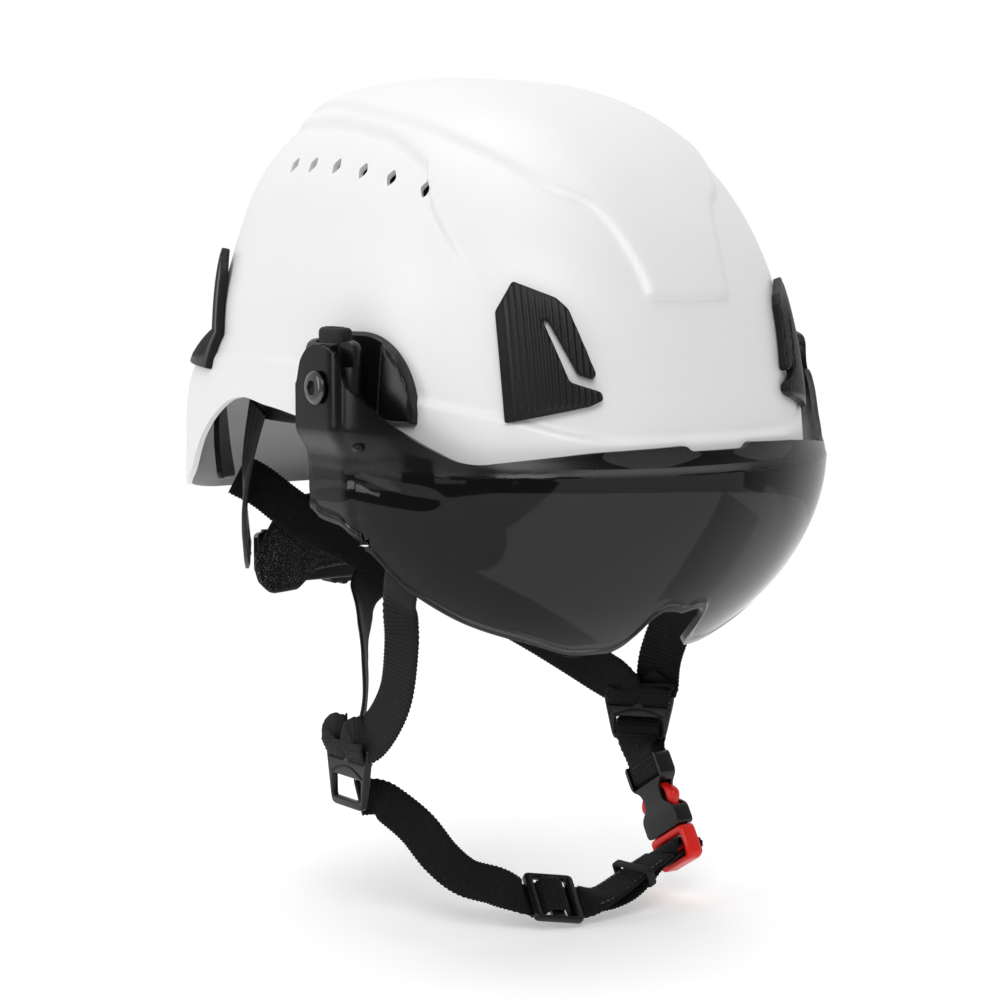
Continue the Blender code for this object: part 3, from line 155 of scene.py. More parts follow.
REAR_ROUTES = {
    "right": ((-0.0755, 0.1050, -0.0180), (-0.0661, 0.1000, -0.0240), (-0.0485, 0.0955, -0.0380),
              (-0.0272, 0.0915, -0.0494), (-0.0082, 0.0878, -0.0606), (0.0114, 0.0835, -0.0694),
              (0.0273, 0.0740, -0.0767), (0.0454, 0.0560, -0.0896), (0.0561, 0.0395, -0.0997),
              (0.0655, 0.0235, -0.1095)),
    "left": ((0.0755, 0.1050, -0.0180), (0.0661, 0.1000, -0.0240), (0.0485, 0.0970, -0.0380),
             (0.0272, 0.0960, -0.0494), (0.0082, 0.0948, -0.0606), (-0.0114, 0.0935, -0.0700),
             (-0.0200, 0.0885, -0.0750), (-0.0300, 0.0740, -0.0815), (-0.0430, 0.0530, -0.0890),
             (-0.0550, 0.0330, -0.0985), (-0.0670, 0.0160, -0.1130), (-0.0755, 0.0120, -0.1215)),
}
REAR_FACINGS = {"right": [(0.3, -0.95, 0), (0.1, -1.0, 0), (0.0, -1.0, 0), (-0.7, -0.7, 0), (-0.8, -0.6, 0)],
                "left": [(-0.3, -0.95, 0), (-0.1, -1.0, 0), (0.0, -1.0, 0), (0.7, -0.7, 0), (1.0, -0.1, 0)]}
FRONT_FACINGS = {"right": [(1.0, 0.3, 0), (1.0, 0.0, 0)], "left": [(-0.9, -0.4, 0), (-0.8, -0.6, 0)]}
DIVIDERS = {"right": ((-0.0780, 0.0100, -0.1385), (0, -1, 0), 1.25),
            "left": ((0.0748, 0.0045, -0.1300), (0.6, -0.8, 0), 1.0)}   # middle, across, height share
DIVIDER_OUTLINE = ((-0.0165, 0.0095), (-0.0150, 0.0115), (0.0150, 0.0115), (0.0165, 0.0095),
                   (0.0125, -0.0085), (0.0110, -0.0105), (-0.0110, -0.0105), (-0.0125, -0.0085))
DIVIDER_SLOTS = (((-0.0145, 0.0086), (-0.0020, 0.0086), (-0.0020, 0.0058), (-0.0140, 0.0058)),
                 ((0.0020, 0.0086), (0.0145, 0.0086), (0.0140, 0.0058), (0.0020, 0.0058)),
                 ((-0.0108, 0.0000), (0.0108, 0.0000), (0.0106, -0.0075), (-0.0106, -0.0075)))
ARCH_HALF, ARCH_FOOT, ARCH_RISE = 0.0117, 0.0006, 0.0030       # the bead over the lower slot
CHIN_ROUTE = ((-0.0735, 0.0100, -0.1480), (-0.0650, 0.0085, -0.1490), (-0.0580, 0.0065, -0.1540),
              (-0.0495, 0.0010, -0.1630), (-0.0410, -0.0045, -0.1760), (-0.0325, -0.0103, -0.1845),
              (-0.0220, -0.0170, -0.1885), (-0.0134, -0.0230, -0.1930))
CHIN_FACINGS = [(-0.50, -0.55, 0.65), (-0.50, -0.55, 0.65), (-0.45, -0.60, 0.60)]
CHIN_END_ROUTE = ((0.0180, -0.0300, -0.1985), (0.0280, -0.0305, -0.1970), (0.0400, -0.0300, -0.1925),
                  (0.0520, -0.0290, -0.1880), (0.0610, -0.0270, -0.1855))
CHIN_END_FACINGS = [(-0.38, -0.20, 0.80), (-0.27, 0.12, 0.95)]
KEEPER_SHARE = 0.62
FRONT_HANGER = ((0.0905, -0.0600, 0.0080), (0.0890, -0.0590, -0.0060), (0.0875, -0.0575, -0.0220))
REAR_HANGER = ((0.0800, 0.1120, 0.0140), (0.0795, 0.1115, -0.0040), (0.0785, 0.1095, -0.0200))
ADJUSTER_THREAD = ((0.0118, 0.0027), (0.0085, 0.0028), (0.0062, 0.0012), (0.0045, -0.0014),
                   (0.0032, -0.0027))               # from the adjuster's middle, and above its plane
ADJUSTER_FOLD = ((-0.0056, 0.0000), (-0.0036, -0.0026), (0.0, -0.0030), (0.0036, -0.0026),
                 (0.0056, 0.0000))                  # under the adjuster's middle bar
CHIN_WRAP = ((-0.0062, 0.0065), (-0.0058, 0.0), (-0.0064, -0.0056), (-0.0092, -0.0078), (-0.0118, -0.0056),
             (-0.0123, 0.0), (-0.0120, 0.0065), (-0.0122, 0.0130))   # below and beside the buckle's foot
# the rim rows take the rim material, whose lighter tint is a painted highlight along the lens's edge
RIM_ROWS = 5                       # rows of the lens's grid in its thick lower rim
SLOT_MIDDLE = 0.0074               # of a divider's upper slot, from its middle line
FLOOR_Z = -0.2080
SMOKE_BAND = (-0.011, 0.029)       # heights between which the lens's tint changes
CAMERA_PLACE, CAMERA_AIM = (-0.6427, -0.8753, 0.0934), (-0.0267, -0.0275, -0.0212)
CAMERA_LENS = 91.1
FLOOR_RADIUS, FLOOR_GLOW = 0.75, 0.22
BACKDROP_DIRECTION = (0.588, 0.809, 0.0)       # the studio's white wall, behind the helmet
ROOM_LIGHT = 0.34                  # the rest of the studio, against the white wall
LIGHTS = (("key", (-1.0, -1.3, 1.1), (0.9, 0.9), 17.0), ("top", (0.0, 0.0, 2.0), (1.6, 1.6), 16.0),
          ("side", (-1.7, 0.4, 0.5), (0.5, 1.4), 9.0))


def table_at(table, at):
    """Reads a table of (x, y) at one place or at an array of places, with a smooth curve."""
    xs = np.array([row[0] for row in table], float)
    ys = np.array([row[1] for row in table], float)
    widths = np.diff(xs)
    rise = np.diff(ys) / widths
    slopes = np.zeros(len(xs))
    inner = rise[:-1] * rise[1:] > 0
    slopes[1:-1][inner] = 2 * rise[:-1][inner] * rise[1:][inner] / (rise[:-1] + rise[1:])[inner]
    at = np.clip(np.asarray(at, float), xs[0], xs[-1])
    i = np.clip(np.searchsorted(xs, at, side="right") - 1, 0, len(xs) - 2)
    t = (at - xs[i]) / widths[i]
    return (ys[i] * (1 + 2 * t) * (1 - t) ** 2 + slopes[i] * widths[i] * t * (1 - t) ** 2
            + ys[i + 1] * t * t * (3 - 2 * t) - slopes[i + 1] * widths[i] * t * t * (1 - t))


def directions(points):
    """Unit directions along a polyline, as an array."""
    along = np.gradient(points, axis=0)
    return along / np.linalg.norm(along, axis=1)[:, None]


def smoothstep(low, high, at):
    t = np.clip((np.asarray(at, float) - low) / (high - low), 0.0, 1.0)
    return t * t * (3 - 2 * t)


def signed_power(value, power):
    return np.sign(value) * np.abs(value) ** power


# ------------------------------------------------------------------ materials

def new_material(name):
    made = bpy.data.materials.new(name)
    made.use_nodes = True
    tree = made.node_tree
    return made, tree, tree.nodes["Principled BSDF"]


def texture_coordinates(tree, source="Object"):
    return tree.nodes.new("ShaderNodeTexCoord").outputs[source]


def noise(tree, vector, scale, detail=3.0):
    node = tree.nodes.new("ShaderNodeTexNoise")
    node.inputs["Scale"].default_value = scale
    node.inputs["Detail"].default_value = detail
    tree.links.new(vector, node.inputs["Vector"])
    return node.outputs["Fac"]


def remap(tree, value, low, high):
    node = tree.nodes.new("ShaderNodeMapRange")
    node.inputs["To Min"].default_value = low
    node.inputs["To Max"].default_value = high
    tree.links.new(value, node.inputs["Value"])
    return node.outputs["Result"]


def ramp(tree, value, stops):
    node = tree.nodes.new("ShaderNodeValToRGB")
    for element, (place, colour) in zip(node.color_ramp.elements, (stops[0], stops[-1])):
        element.position = place
        element.color = (*colour, 1.0)
    for place, colour in stops[1:-1]:
        node.color_ramp.elements.new(place).color = (*colour, 1.0)
    tree.links.new(value, node.inputs["Fac"])
    return node.outputs["Color"]


def bump(tree, shader, height, distance, strength=1.0, under=None):
    node = tree.nodes.new("ShaderNodeBump")
    node.inputs["Strength"].default_value = strength
    node.inputs["Distance"].default_value = distance
    tree.links.new(height, node.inputs["Height"])
    if under:
        tree.links.new(under, node.inputs["Normal"])
    tree.links.new(node.outputs["Normal"], shader.inputs["Normal"])
    return node.outputs["Normal"]


def moulded(name, colour, roughness, grain=0.00006, grain_scale=1400.0, metallic=0.0, specular=0.25,
            spread=0.12):
    """A moulded plastic: fine grain in its relief, and broad variation in its gloss and tone."""
    made, tree, shader = new_material(name)
    where = texture_coordinates(tree)
    broad = noise(tree, where, 28.0, 4.0)
    dark = tuple(c * (1 - spread) for c in colour)
    light = tuple(min(c * (1 + spread), 1.0) for c in colour)
    tree.links.new(ramp(tree, broad, ((0.3, dark), (0.7, light))), shader.inputs["Base Color"])
    tree.links.new(remap(tree, noise(tree, where, 60.0, 5.0), roughness * 0.85, roughness * 1.15),
                   shader.inputs["Roughness"])
    shader.inputs["Metallic"].default_value = metallic
    shader.inputs["Specular IOR Level"].default_value = specular
    bump(tree, shader, noise(tree, where, grain_scale, 2.0), grain)
    return made


def smoke_material(name, painted_glint_lift=1.0, gloss=None):
    """Clear polycarbonate with a deep grey tint, satin above the lens; gloss makes it clear all over, and a
    lift above 1 lightens the tint below the band, a painted highlight for the lens's glassy bright rim.
    """
    made, tree, shader = new_material(name)
    shader.inputs["Specular IOR Level"].default_value = 0.35
    where = texture_coordinates(tree)
    apart = tree.nodes.new("ShaderNodeSeparateXYZ")
    tree.links.new(where, apart.inputs["Vector"])
    height = tree.nodes.new("ShaderNodeMapRange")
    height.inputs["From Min"].default_value = SMOKE_BAND[0]
    height.inputs["From Max"].default_value = SMOKE_BAND[1]
    tree.links.new(apart.outputs["Z"], height.inputs["Value"])
    # the two lowest stops, scaled by the lift, carry the rim's painted highlight
    tint = ramp(tree, height.outputs["Result"], ((0.0, (0.017 * painted_glint_lift,) * 3), (0.20, (0.020 * painted_glint_lift,) * 3),
                                                 (0.25, (0.075,) * 3), (0.40, (0.055,) * 3),
                                                 (0.62, (0.010,) * 3)))
    tree.links.new(tint, shader.inputs["Base Color"])
    shader.inputs["Transmission Weight"].default_value = 1.0
    shader.inputs["IOR"].default_value = 1.30
    frosted = ramp(tree, height.outputs["Result"], ((0.21, (0.05,) * 3), (0.25, (gloss or 0.27,) * 3),
                                                    (1.0, (gloss or 0.22,) * 3)))
    shade = tree.nodes.new("ShaderNodeMath")
    shade.operation = "MULTIPLY"
    tree.links.new(frosted, shade.inputs[0])
    tree.links.new(remap(tree, noise(tree, where, 35.0, 3.0), 0.8, 1.2), shade.inputs[1])
    tree.links.new(shade.outputs["Value"], shader.inputs["Roughness"])
    bump(tree, shader, noise(tree, where, 18.0, 1.0), 0.00005)
    return made


def webbing_material(name, colour=(0.0050, 0.0050, 0.0053), rib=0.0017):
    """Woven nylon: threads along the strap, ribs across it, and a little lint."""
    made, tree, shader = new_material(name)
    uv = texture_coordinates(tree, "UV")
    stretch = tree.nodes.new("ShaderNodeMapping")
    stretch.inputs["Scale"].default_value = (1.0 / rib, 34.0, 1.0)
    tree.links.new(uv, stretch.inputs["Vector"])
    weave = tree.nodes.new("ShaderNodeTexBrick")
    weave.inputs["Scale"].default_value = 1.0
    weave.inputs["Mortar Size"].default_value = 0.06
    weave.inputs["Brick Width"].default_value = 0.5
    weave.inputs["Row Height"].default_value = 1.0
    weave.inputs["Color1"].default_value = (*[c * 1.15 for c in colour], 1.0)
    weave.inputs["Color2"].default_value = (*[c * 0.75 for c in colour], 1.0)
    weave.inputs["Mortar"].default_value = (*[c * 0.25 for c in colour], 1.0)
    tree.links.new(stretch.outputs["Vector"], weave.inputs["Vector"])
    lint = tree.nodes.new("ShaderNodeMix")
    lint.data_type = "RGBA"
    speck = noise(tree, texture_coordinates(tree), 900.0, 4.0)
    tree.links.new(remap(tree, ramp(tree, speck, ((0.60, (0, 0, 0)), (0.72, (1, 1, 1)))), 0.0, 0.35),
                   lint.inputs["Factor"])
    tree.links.new(weave.outputs["Color"], lint.inputs["A"])
    lint.inputs["B"].default_value = (0.045, 0.045, 0.047, 1.0)
    tree.links.new(lint.outputs["Result"], shader.inputs["Base Color"])
    shader.inputs["Roughness"].default_value = 0.62
    shader.inputs["Sheen Weight"].default_value = 0.03
    shader.inputs["Sheen Roughness"].default_value = 0.5
    shader.inputs["Specular IOR Level"].default_value = 0.15
    bump(tree, shader, weave.outputs["Fac"], -0.00012)
    return made


def fleece_material(name, colour=(0.010, 0.010, 0.011)):
    """Brushed fabric: short pile with pale fibre tips."""
    made, tree, shader = new_material(name)
    where = texture_coordinates(tree)
    pile = noise(tree, where, 1700.0, 3.0)
    deep = tuple(c * 0.5 for c in colour)
    tips = ramp(tree, pile, ((0.42, deep), (0.56, colour), (0.70, (0.16, 0.16, 0.16))))
    tree.links.new(tips, shader.inputs["Base Color"])
    shader.inputs["Roughness"].default_value = 0.95
    shader.inputs["Sheen Weight"].default_value = 0.08
    shader.inputs["Sheen Roughness"].default_value = 0.4
    shader.inputs["Specular IOR Level"].default_value = 0.1
    soft = bump(tree, shader, noise(tree, where, 260.0, 3.0), 0.0006)
    bump(tree, shader, pile, 0.0004, 1.0, soft)
    return made


def foam_material(name):
    """Expanded bead foam."""
    made, tree, shader = new_material(name)
    where = texture_coordinates(tree)
    beads = tree.nodes.new("ShaderNodeTexVoronoi")
    beads.inputs["Scale"].default_value = 320.0
    tree.links.new(where, beads.inputs["Vector"])
    tree.links.new(ramp(tree, beads.outputs["Distance"], ((0.0, (0.020, 0.020, 0.021)),
                                                          (0.8, (0.006, 0.006, 0.006)))),
                   shader.inputs["Base Color"])
    shader.inputs["Roughness"].default_value = 0.9
    bump(tree, shader, beads.outputs["Distance"], -0.0004)
    return made


MATERIALS = {
    "shell": moulded("satin_white_shell", (0.735, 0.735, 0.74), 0.36, 0.00002, 500.0, specular=0.45,
                     spread=0.008),
    "plastic": moulded("black_moulding", (0.0055, 0.0055, 0.0058), 0.42, 0.00005, 1600.0, specular=0.22,
                       spread=0.25),
    "satin": moulded("black_satin_moulding", (0.0045, 0.0045, 0.0048), 0.27, 0.00002, 900.0, specular=0.30,
                     spread=0.2),
    "rubber": moulded("black_rubber", (0.008, 0.008, 0.008), 0.60, 0.00008, 1200.0, spread=0.25),
    "red": moulded("red_acetal", (0.66, 0.010, 0.005), 0.30, 0.00003, 1100.0, specular=0.35,
                   spread=0.06),
    "steel": moulded("dark_plated_steel", (0.10, 0.10, 0.105), 0.28, 0.00003, 900.0, metallic=1.0),
    "smoke": smoke_material("smoke_polycarbonate"),
    "webbing": webbing_material("black_webbing"),
    "thread": moulded("black_thread", (0.030, 0.030, 0.031), 0.6, 0.00005, 3000.0),
    "pale_thread": moulded("grey_thread", (0.16, 0.16, 0.165), 0.7, 0.00005, 3000.0),
    # the lens's lower rim: a tint 3.2 times lighter, a painted highlight standing in for its glassy bright edge
    "rim": smoke_material("smoke_rim_painted_glint", 3.2, 0.06),
    "fleece": fleece_material("black_fleece"),
    "foam": foam_material("black_foam"),
}


# ------------------------------------------------------------------ mesh helpers

def shade(mesh, angle):
    """Smooth shading, broken at edges sharper than the angle; 0 leaves every edge smooth."""
    mesh.shade_smooth()
    if angle:
        mesh.set_sharp_from_angle(angle=math.radians(angle))


def add_object(name, mesh, material, body=None, replaces=(), smooth=40.0):
    """A visible piece. body is a CAD body, or a tuple of two bodies and two places, in which case the piece is
    left in place and joins no body; by default it is the body of the node that the piece stands for."""
    obj = bpy.data.objects.new(name, mesh)
    bpy.context.scene.collection.objects.link(obj)
    mesh.materials.append(MATERIALS[material])
    shade(mesh, smooth)
    if body is None:
        body = NODES[replaces[0]]["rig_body"] if replaces else ROOT
    if isinstance(body, tuple):
        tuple(body[2])
        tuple(body[3])
        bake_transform(obj)
    else:
        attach(obj, body)
    if replaces:
        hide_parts(*replaces)
    return obj


def grid_mesh(name, points, closed=False, pole=None, uv=None):
    """A mesh over an array of points (rows, columns, 3); a closed grid may end in a pole."""
    bm = bmesh.new()
    layer = bm.loops.layers.uv.new("UVMap") if uv is not None else None
    rows, wide = points.shape[:2]
    verts = [[bm.verts.new(points[r, c]) for c in range(wide)] for r in range(rows)]
    for r in range(rows - 1):
        for c in range(wide if closed else wide - 1):
            d = (c + 1) % wide
            face = bm.faces.new((verts[r][c], verts[r][d], verts[r + 1][d], verts[r + 1][c]))
            if layer:
                for loop, (s, t) in zip(face.loops, ((r, c), (r, c + 1), (r + 1, c + 1), (r + 1, c))):
                    loop[layer].uv = uv(s, t)
    if pole is not None:
        top = bm.verts.new(pole)
        for c in range(wide):
            bm.faces.new((verts[-1][c], verts[-1][(c + 1) % wide], top))
    mesh = bpy.data.meshes.new(name)
    bm.to_mesh(mesh)
    bm.free()
    return mesh


def apply_modifiers(obj):
    """Replaces the object's mesh by its evaluated one."""
    bpy.context.view_layer.update()
    made = bpy.data.meshes.new_from_object(obj.evaluated_get(bpy.context.evaluated_depsgraph_get()))
    obj.modifiers.clear()
    old = obj.data
    obj.data = made
    bpy.data.meshes.remove(old)


def solidify(obj, thickness, offset=-1.0):
    wall = obj.modifiers.new("wall", "SOLIDIFY")
    wall.thickness = thickness
    wall.offset = offset
    return obj


def bevel(obj, width, segments=3, angle=35.0):
    edge = obj.modifiers.new("edge", "BEVEL")
    edge.width = width
    edge.segments = segments
    edge.limit_method = "ANGLE"
    edge.angle_limit = math.radians(angle)
    edge.harden_normals = False
    return obj


def cut(obj, cutter):
    """Cuts a helper mesh out of the object, and removes the helper."""
    helper = bpy.data.objects.new("helper", cutter)
    bpy.context.scene.collection.objects.link(helper)
    step = obj.modifiers.new("cut", "BOOLEAN")
    step.operation = "DIFFERENCE"
    step.solver = "EXACT"
    step.object = helper
    apply_modifiers(obj)
    bpy.data.objects.remove(helper)
    bpy.data.meshes.remove(cutter)
    return obj


def box_into(bm, low, high, matrix=Matrix.Identity(4), round_by=0.0, segments=2):
    """Adds a box, with rounded edges, to a bmesh."""
    low, high = Vector(low), Vector(high)
    made = bmesh.ops.create_cube(bm, size=1.0)["verts"]
    bmesh.ops.scale(bm, vec=high - low, verts=made)
    bmesh.ops.translate(bm, vec=(low + high) / 2, verts=made)
    if round_by:
        edges = list({edge for vert in made for edge in vert.link_edges})
        grown = bmesh.ops.bevel(bm, geom=edges, offset=round_by, segments=segments, affect="EDGES", profile=0.5)
        made = list({v for v in grown["verts"]} | {v for f in grown["faces"] for v in f.verts})
        made = [v for v in made if v.is_valid]
    bmesh.ops.transform(bm, matrix=matrix, verts=made)
    return made


def lathe_into(bm, profile, matrix, segments=48):
    """Turns a profile of (radius, height) pairs about local Z."""
    rings = []
    for radius, height in profile:
        if radius < 1e-7:
            rings.append([bm.verts.new(matrix @ Vector((0, 0, height)))])
            continue
        rings.append([bm.verts.new(matrix @ Vector((radius * math.cos(2 * math.pi * k / segments),
                                                    radius * math.sin(2 * math.pi * k / segments), height)))
                      for k in range(segments)])
    for low, high in zip(rings, rings[1:]):
        for k in range(segments):
            n = (k + 1) % segments
            corners = [low[k % len(low)], low[n % len(low)], high[n % len(high)], high[k % len(high)]]
            corners = list(dict.fromkeys(corners))
            if len(corners) > 2:
                bm.faces.new(corners)


def prism_into(bm, bottom, top):
    """A solid between two matching outlines."""
    count = len(bottom)
    bottom, top = ([bm.verts.new(point) for point in ring] for ring in (bottom, top))
    for k in range(count):
        bm.faces.new((bottom[k], bottom[(k + 1) % count], top[(k + 1) % count], top[k]))
    bm.faces.new(bottom[::-1])
    bm.faces.new(top)


def mesh_of(name, bm):
    bmesh.ops.recalc_face_normals(bm, faces=bm.faces)
    mesh = bpy.data.meshes.new(name)
    bm.to_mesh(mesh)
    bm.free()
    return mesh


def close_mesh(mesh, joined=False):
    """Joins the ends of a ring, or else fills the open ends."""
    bm = bmesh.new()
    bm.from_mesh(mesh)
    if joined:
        bmesh.ops.remove_doubles(bm, verts=bm.verts, dist=1e-7)
    else:
        bmesh.ops.holes_fill(bm, edges=[e for e in bm.edges if e.is_boundary])
    bmesh.ops.recalc_face_normals(bm, faces=bm.faces)
    bm.to_mesh(mesh)
    bm.free()


def frame_matrix(origin, across, up):
    """Local X runs across, local Y up, local Z out of the plane."""
    across = Vector(across).normalized()
    out = across.cross(Vector(up)).normalized()
    up = out.cross(across)
    return Matrix.Translation(Vector(origin)) @ Matrix((across, up, out)).transposed().to_4x4()


def plate_mesh(name, splines, thickness, matrix, round_by=0.0, segments=2):
    """A flat outline with holes, given its thickness and rounded edges by the curve's own bevel."""
    curve = bpy.data.curves.new(name, "CURVE")
    curve.dimensions = "2D"
    curve.fill_mode = "BOTH"
    curve.extrude = thickness / 2 - round_by
    curve.bevel_depth = round_by
    curve.bevel_resolution = segments
    curve.offset = -round_by
    for points in splines:
        spline = curve.splines.new("POLY")
        spline.points.add(len(points) - 1)
        for target, point in zip(spline.points, points):
            target.co = (point[0], point[1], 0.0, 1.0)
        spline.use_cyclic_u = True
    drawn = bpy.data.objects.new(name, curve)
    bpy.context.scene.collection.objects.link(drawn)
    bpy.context.view_layer.update()
    mesh = bpy.data.meshes.new_from_object(drawn.evaluated_get(bpy.context.evaluated_depsgraph_get()))
    bpy.data.objects.remove(drawn)
    bm = bmesh.new()
    bm.from_mesh(mesh)
    bpy.data.meshes.remove(mesh)
    bmesh.ops.remove_doubles(bm, verts=bm.verts, dist=2e-6)
    bmesh.ops.transform(bm, matrix=matrix, verts=bm.verts)
    return mesh_of(name, bm)


def rounded(points, radius, steps=5):
    """A polygon with its corners rounded."""
    found = []
    count = len(points)
    for i in range(count):
        here = Vector(points[i]).to_2d()
        before, after = Vector(points[i - 1]).to_2d(), Vector(points[(i + 1) % count]).to_2d()
        first = min(radius, (before - here).length * 0.45)
        last = min(radius, (after - here).length * 0.45)
        start = here + (before - here).normalized() * first
        end = here + (after - here).normalized() * last
        for k in range(steps + 1):
            t = k / steps
            found.append((start * (1 - t) ** 2 + here * 2 * t * (1 - t) + end * t * t)[:])
    return found


def curve_through(points, spacing):
    """Points about this far apart on a smooth curve through the given ones."""
    points = [Vector(p) for p in points]
    dense = []
    for i in range(len(points) - 1):
        before = points[i - 1] if i else points[0] * 2 - points[1]
        a, b = points[i], points[i + 1]
        after = points[i + 2] if i + 2 < len(points) else b * 2 - a
        for k in range(24):
            t = k / 24
            dense.append(0.5 * (2 * a + (b - before) * t + (2 * before - 5 * a + 4 * b - after) * t * t
                                + (3 * a - before - 3 * b + after) * t ** 3))
    dense.append(points[-1])
    steps = np.array([(q - p).length for p, q in zip(dense, dense[1:])])
    reached = np.concatenate([[0.0], np.cumsum(steps)])
    count = max(int(round(reached[-1] / spacing)), 2)
    at = np.linspace(0, reached[-1], count + 1)
    table = np.array([p[:] for p in dense])
    return np.stack([np.interp(at, reached, table[:, k]) for k in range(3)], axis=1), at


def woven(name, centre, across, out, at, material, width, thickness, body, replaces, closed=False,
          scallop=0.00022, relief=0.00013):
    """A woven strap over given frames, with ribs across it and scalloped edges."""
    phase = np.cos(2 * np.pi * at / RIB)
    half = width / 2 + scallop * phase
    places = np.array([-1.0, -0.985, -0.94, -0.8, -0.5, -0.17, 0.17, 0.5, 0.8, 0.94, 0.985, 1.0])
    crown = np.sqrt(np.clip(1 - np.abs(places) ** 14, 0.0, 1.0))
    crown[[0, -1]] = 0.30
    wide = len(places)
    sides = []
    for sign in (1, -1):
        for k in range(wide)[::sign]:
            lift = sign * crown[k] * (np.asarray(thickness) / 2 + relief * phase)
            sides.append(centre + across * (places[k] * half)[:, None] + out * lift[:, None])
    points = np.stack(sides, axis=1)
    if closed:
        points = np.concatenate([points, points[:1]], axis=0)
        at = np.append(at, at[-1] + at[1] - at[0])

    def uv(r, c):
        side = c % (2 * wide)
        t = places[side] if side < wide else places[2 * wide - 1 - side]
        return at[r], (t + 1) / 2

    mesh = grid_mesh(name, points, closed=True, uv=uv)
    close_mesh(mesh, joined=closed)
    return add_object(name, mesh, material, body, replaces=replaces, smooth=60.0)


def strap_frames(route, facings, spacing=RIB / RIB_STEPS, end=None):
    """Middle line, width direction, facing and distance along a strap.

    facings are the directions between which the strap turns, in even steps, and end the way its last
    stretch lies, on either face.
    """
    centre, at = curve_through(route, spacing)
    along = directions(centre)
    share = at / at[-1] * (len(facings) - 1)
    towards = np.array([Vector(d).normalized()[:] for d in facings])
    facing = np.stack([np.interp(share, range(len(facings)), towards[:, k]) for k in range(3)], axis=1)
    if end is not None:
        last = np.array(end[:]) * math.copysign(1.0, float(np.dot(facing[-1], end)))
        share = smoothstep(0.028, 0.010, at[-1] - at)[:, None]
        facing = facing * (1 - share) + last * share
    across = np.cross(along, facing)
    across /= np.linalg.norm(across, axis=1)[:, None]
    return centre, across, np.cross(across, along), at


def webbing(name, route, facings, width, body):
    return woven(name, *strap_frames(route, facings), "webbing", width, WEBBING_THICKNESS, body, ())


# ------------------------------------------------------------------ shell

def shell_points(plan, height, inset=0.0):
    """The shell's outer face at arrays of plan angles and heights, drawn in by inset."""
    plan, height = np.broadcast_arrays(np.asarray(plan, float), np.asarray(height, float))
    side, ahead = np.sin(np.radians(plan)), np.cos(np.radians(plan))
    ends = np.where(ahead > 0, FRONT_POWER, REAR_POWER)
    power = SIDE_POWER * side ** 2 + ends * ahead ** 2
    rise = np.clip(height / (SHELL_TOP - inset), 0.0, 1.0)
    spread = (1 - rise ** power) ** (1 / power)
    long_axis = np.where(ahead > 0, SHELL_FRONT, SHELL_REAR) - inset
    x = (SHELL_A - inset) * spread * signed_power(side, 2 / PLAN_POWER)
    y = -long_axis * spread * signed_power(ahead, 2 / PLAN_POWER)
    flare = smoothstep(FLANGE_START, FLANGE_FULL, np.abs(plan)) * FLANGE_FLARE
    flare = flare * np.clip(1 - np.exp((height - FLANGE_TOP) / FLANGE_CURVE), 0.0, None)
    length = np.hypot(x, y) + 1e-9
    x, y = x + x / length * flare, y + y / length * flare
    y = y + SHELL_Y + SHELL_LEAN * np.clip(height, 0.0, None) / SHELL_TOP
    return np.stack([x, y, height], axis=-1)


def shell_point(plan, height, inset=0.0):
    return Vector(shell_points(plan, height, inset).tolist())


def shell_normal(plan, height):
    along = shell_point(plan + 0.5, height) - shell_point(plan - 0.5, height)
    up = shell_point(plan, height + 0.0005) - shell_point(plan, height - 0.0005)
    return along.cross(up).normalized()


def shell_under(point):
    """The shell's outer face in the same direction from its axis and at the same height, and its normal."""
    wanted = math.atan2(abs(point.x), SHELL_Y - point.y)
    low, high = 0.0, 180.0
    for _ in range(30):
        middle = (low + high) / 2
        found = shell_points(middle, point.z)
        if math.atan2(found[0], SHELL_Y - found[1]) < wanted:
            low = middle
        else:
            high = middle
    surface, normal = shell_point(low, point.z), shell_normal(low, point.z)
    side = -1 if point.x < 0 else 1
    return Vector((surface.x * side, surface.y, surface.z)), Vector((normal.x * side, normal.y, normal.z))


def shell_relief(points):
    """Raised crown and tongue, sunken side panels, lower band and the dimples round the vents."""
    x, y, z = np.abs(points[..., 0]), points[..., 1], points[..., 2]
    polar = np.degrees(np.arctan2(x, SHELL_Y - y))
    inside = smoothstep(0.0022, -0.0022, x - table_at(CROWN_EDGE, y))
    foot = smoothstep(TONGUE_FOOT - 0.0012, TONGUE_FOOT + 0.0004, z)
    tongue = smoothstep(0.112, 0.085, z) * smoothstep(0.0, -0.05, y)
    crown = inside * (0.0020 * smoothstep(0.085, 0.115, z) + 0.0021 * tongue * foot)
    below = smoothstep(-0.0022, 0.0022, table_at(RECESS_EDGE, polar) - z)
    recess = -0.0027 * below * smoothstep(0.055, 0.096, z) * smoothstep(24, 44, polar)
    recess = recess * smoothstep(160, 120, polar)
    lower = smoothstep(-0.0022, 0.0022, table_at(CREASE, polar) - z)
    band = 0.0016 * lower * (0.65 + 0.35 * smoothstep(95, 55, polar))
    dimples = np.zeros_like(x)
    for plan, height in VENTS:
        at = shell_points(plan, height)
        away = np.sqrt((x - at[0]) ** 2 + (y - at[1]) ** 2 + ((z - at[2]) * 0.8) ** 2)
        dimples += -0.0007 * np.exp(-(away / 0.0052) ** 2)
    return crown + recess + band + dimples


def dome_grid(columns, rows, rim, split, inset, split_share=0.34):
    """Points round a dome, in even steps up to the split height and then by angle."""
    plan = -180 + 360 * np.arange(columns) / columns
    rim = np.broadcast_to(rim(plan), plan.shape)
    top = SHELL_TOP - inset
    share = (np.arange(rows) / rows)[:, None]
    start = math.asin((split / top) ** 1.3)
    turn = start + (math.pi / 2 - start) * (share - split_share) / (1 - split_share)
    high = top * np.sin(np.clip(turn, start, math.pi / 2)) ** (1 / 1.3)
    low = rim[None, :] + (split - rim[None, :]) * share / split_share
    height = np.where(share <= split_share, low, high)
    return plan, height


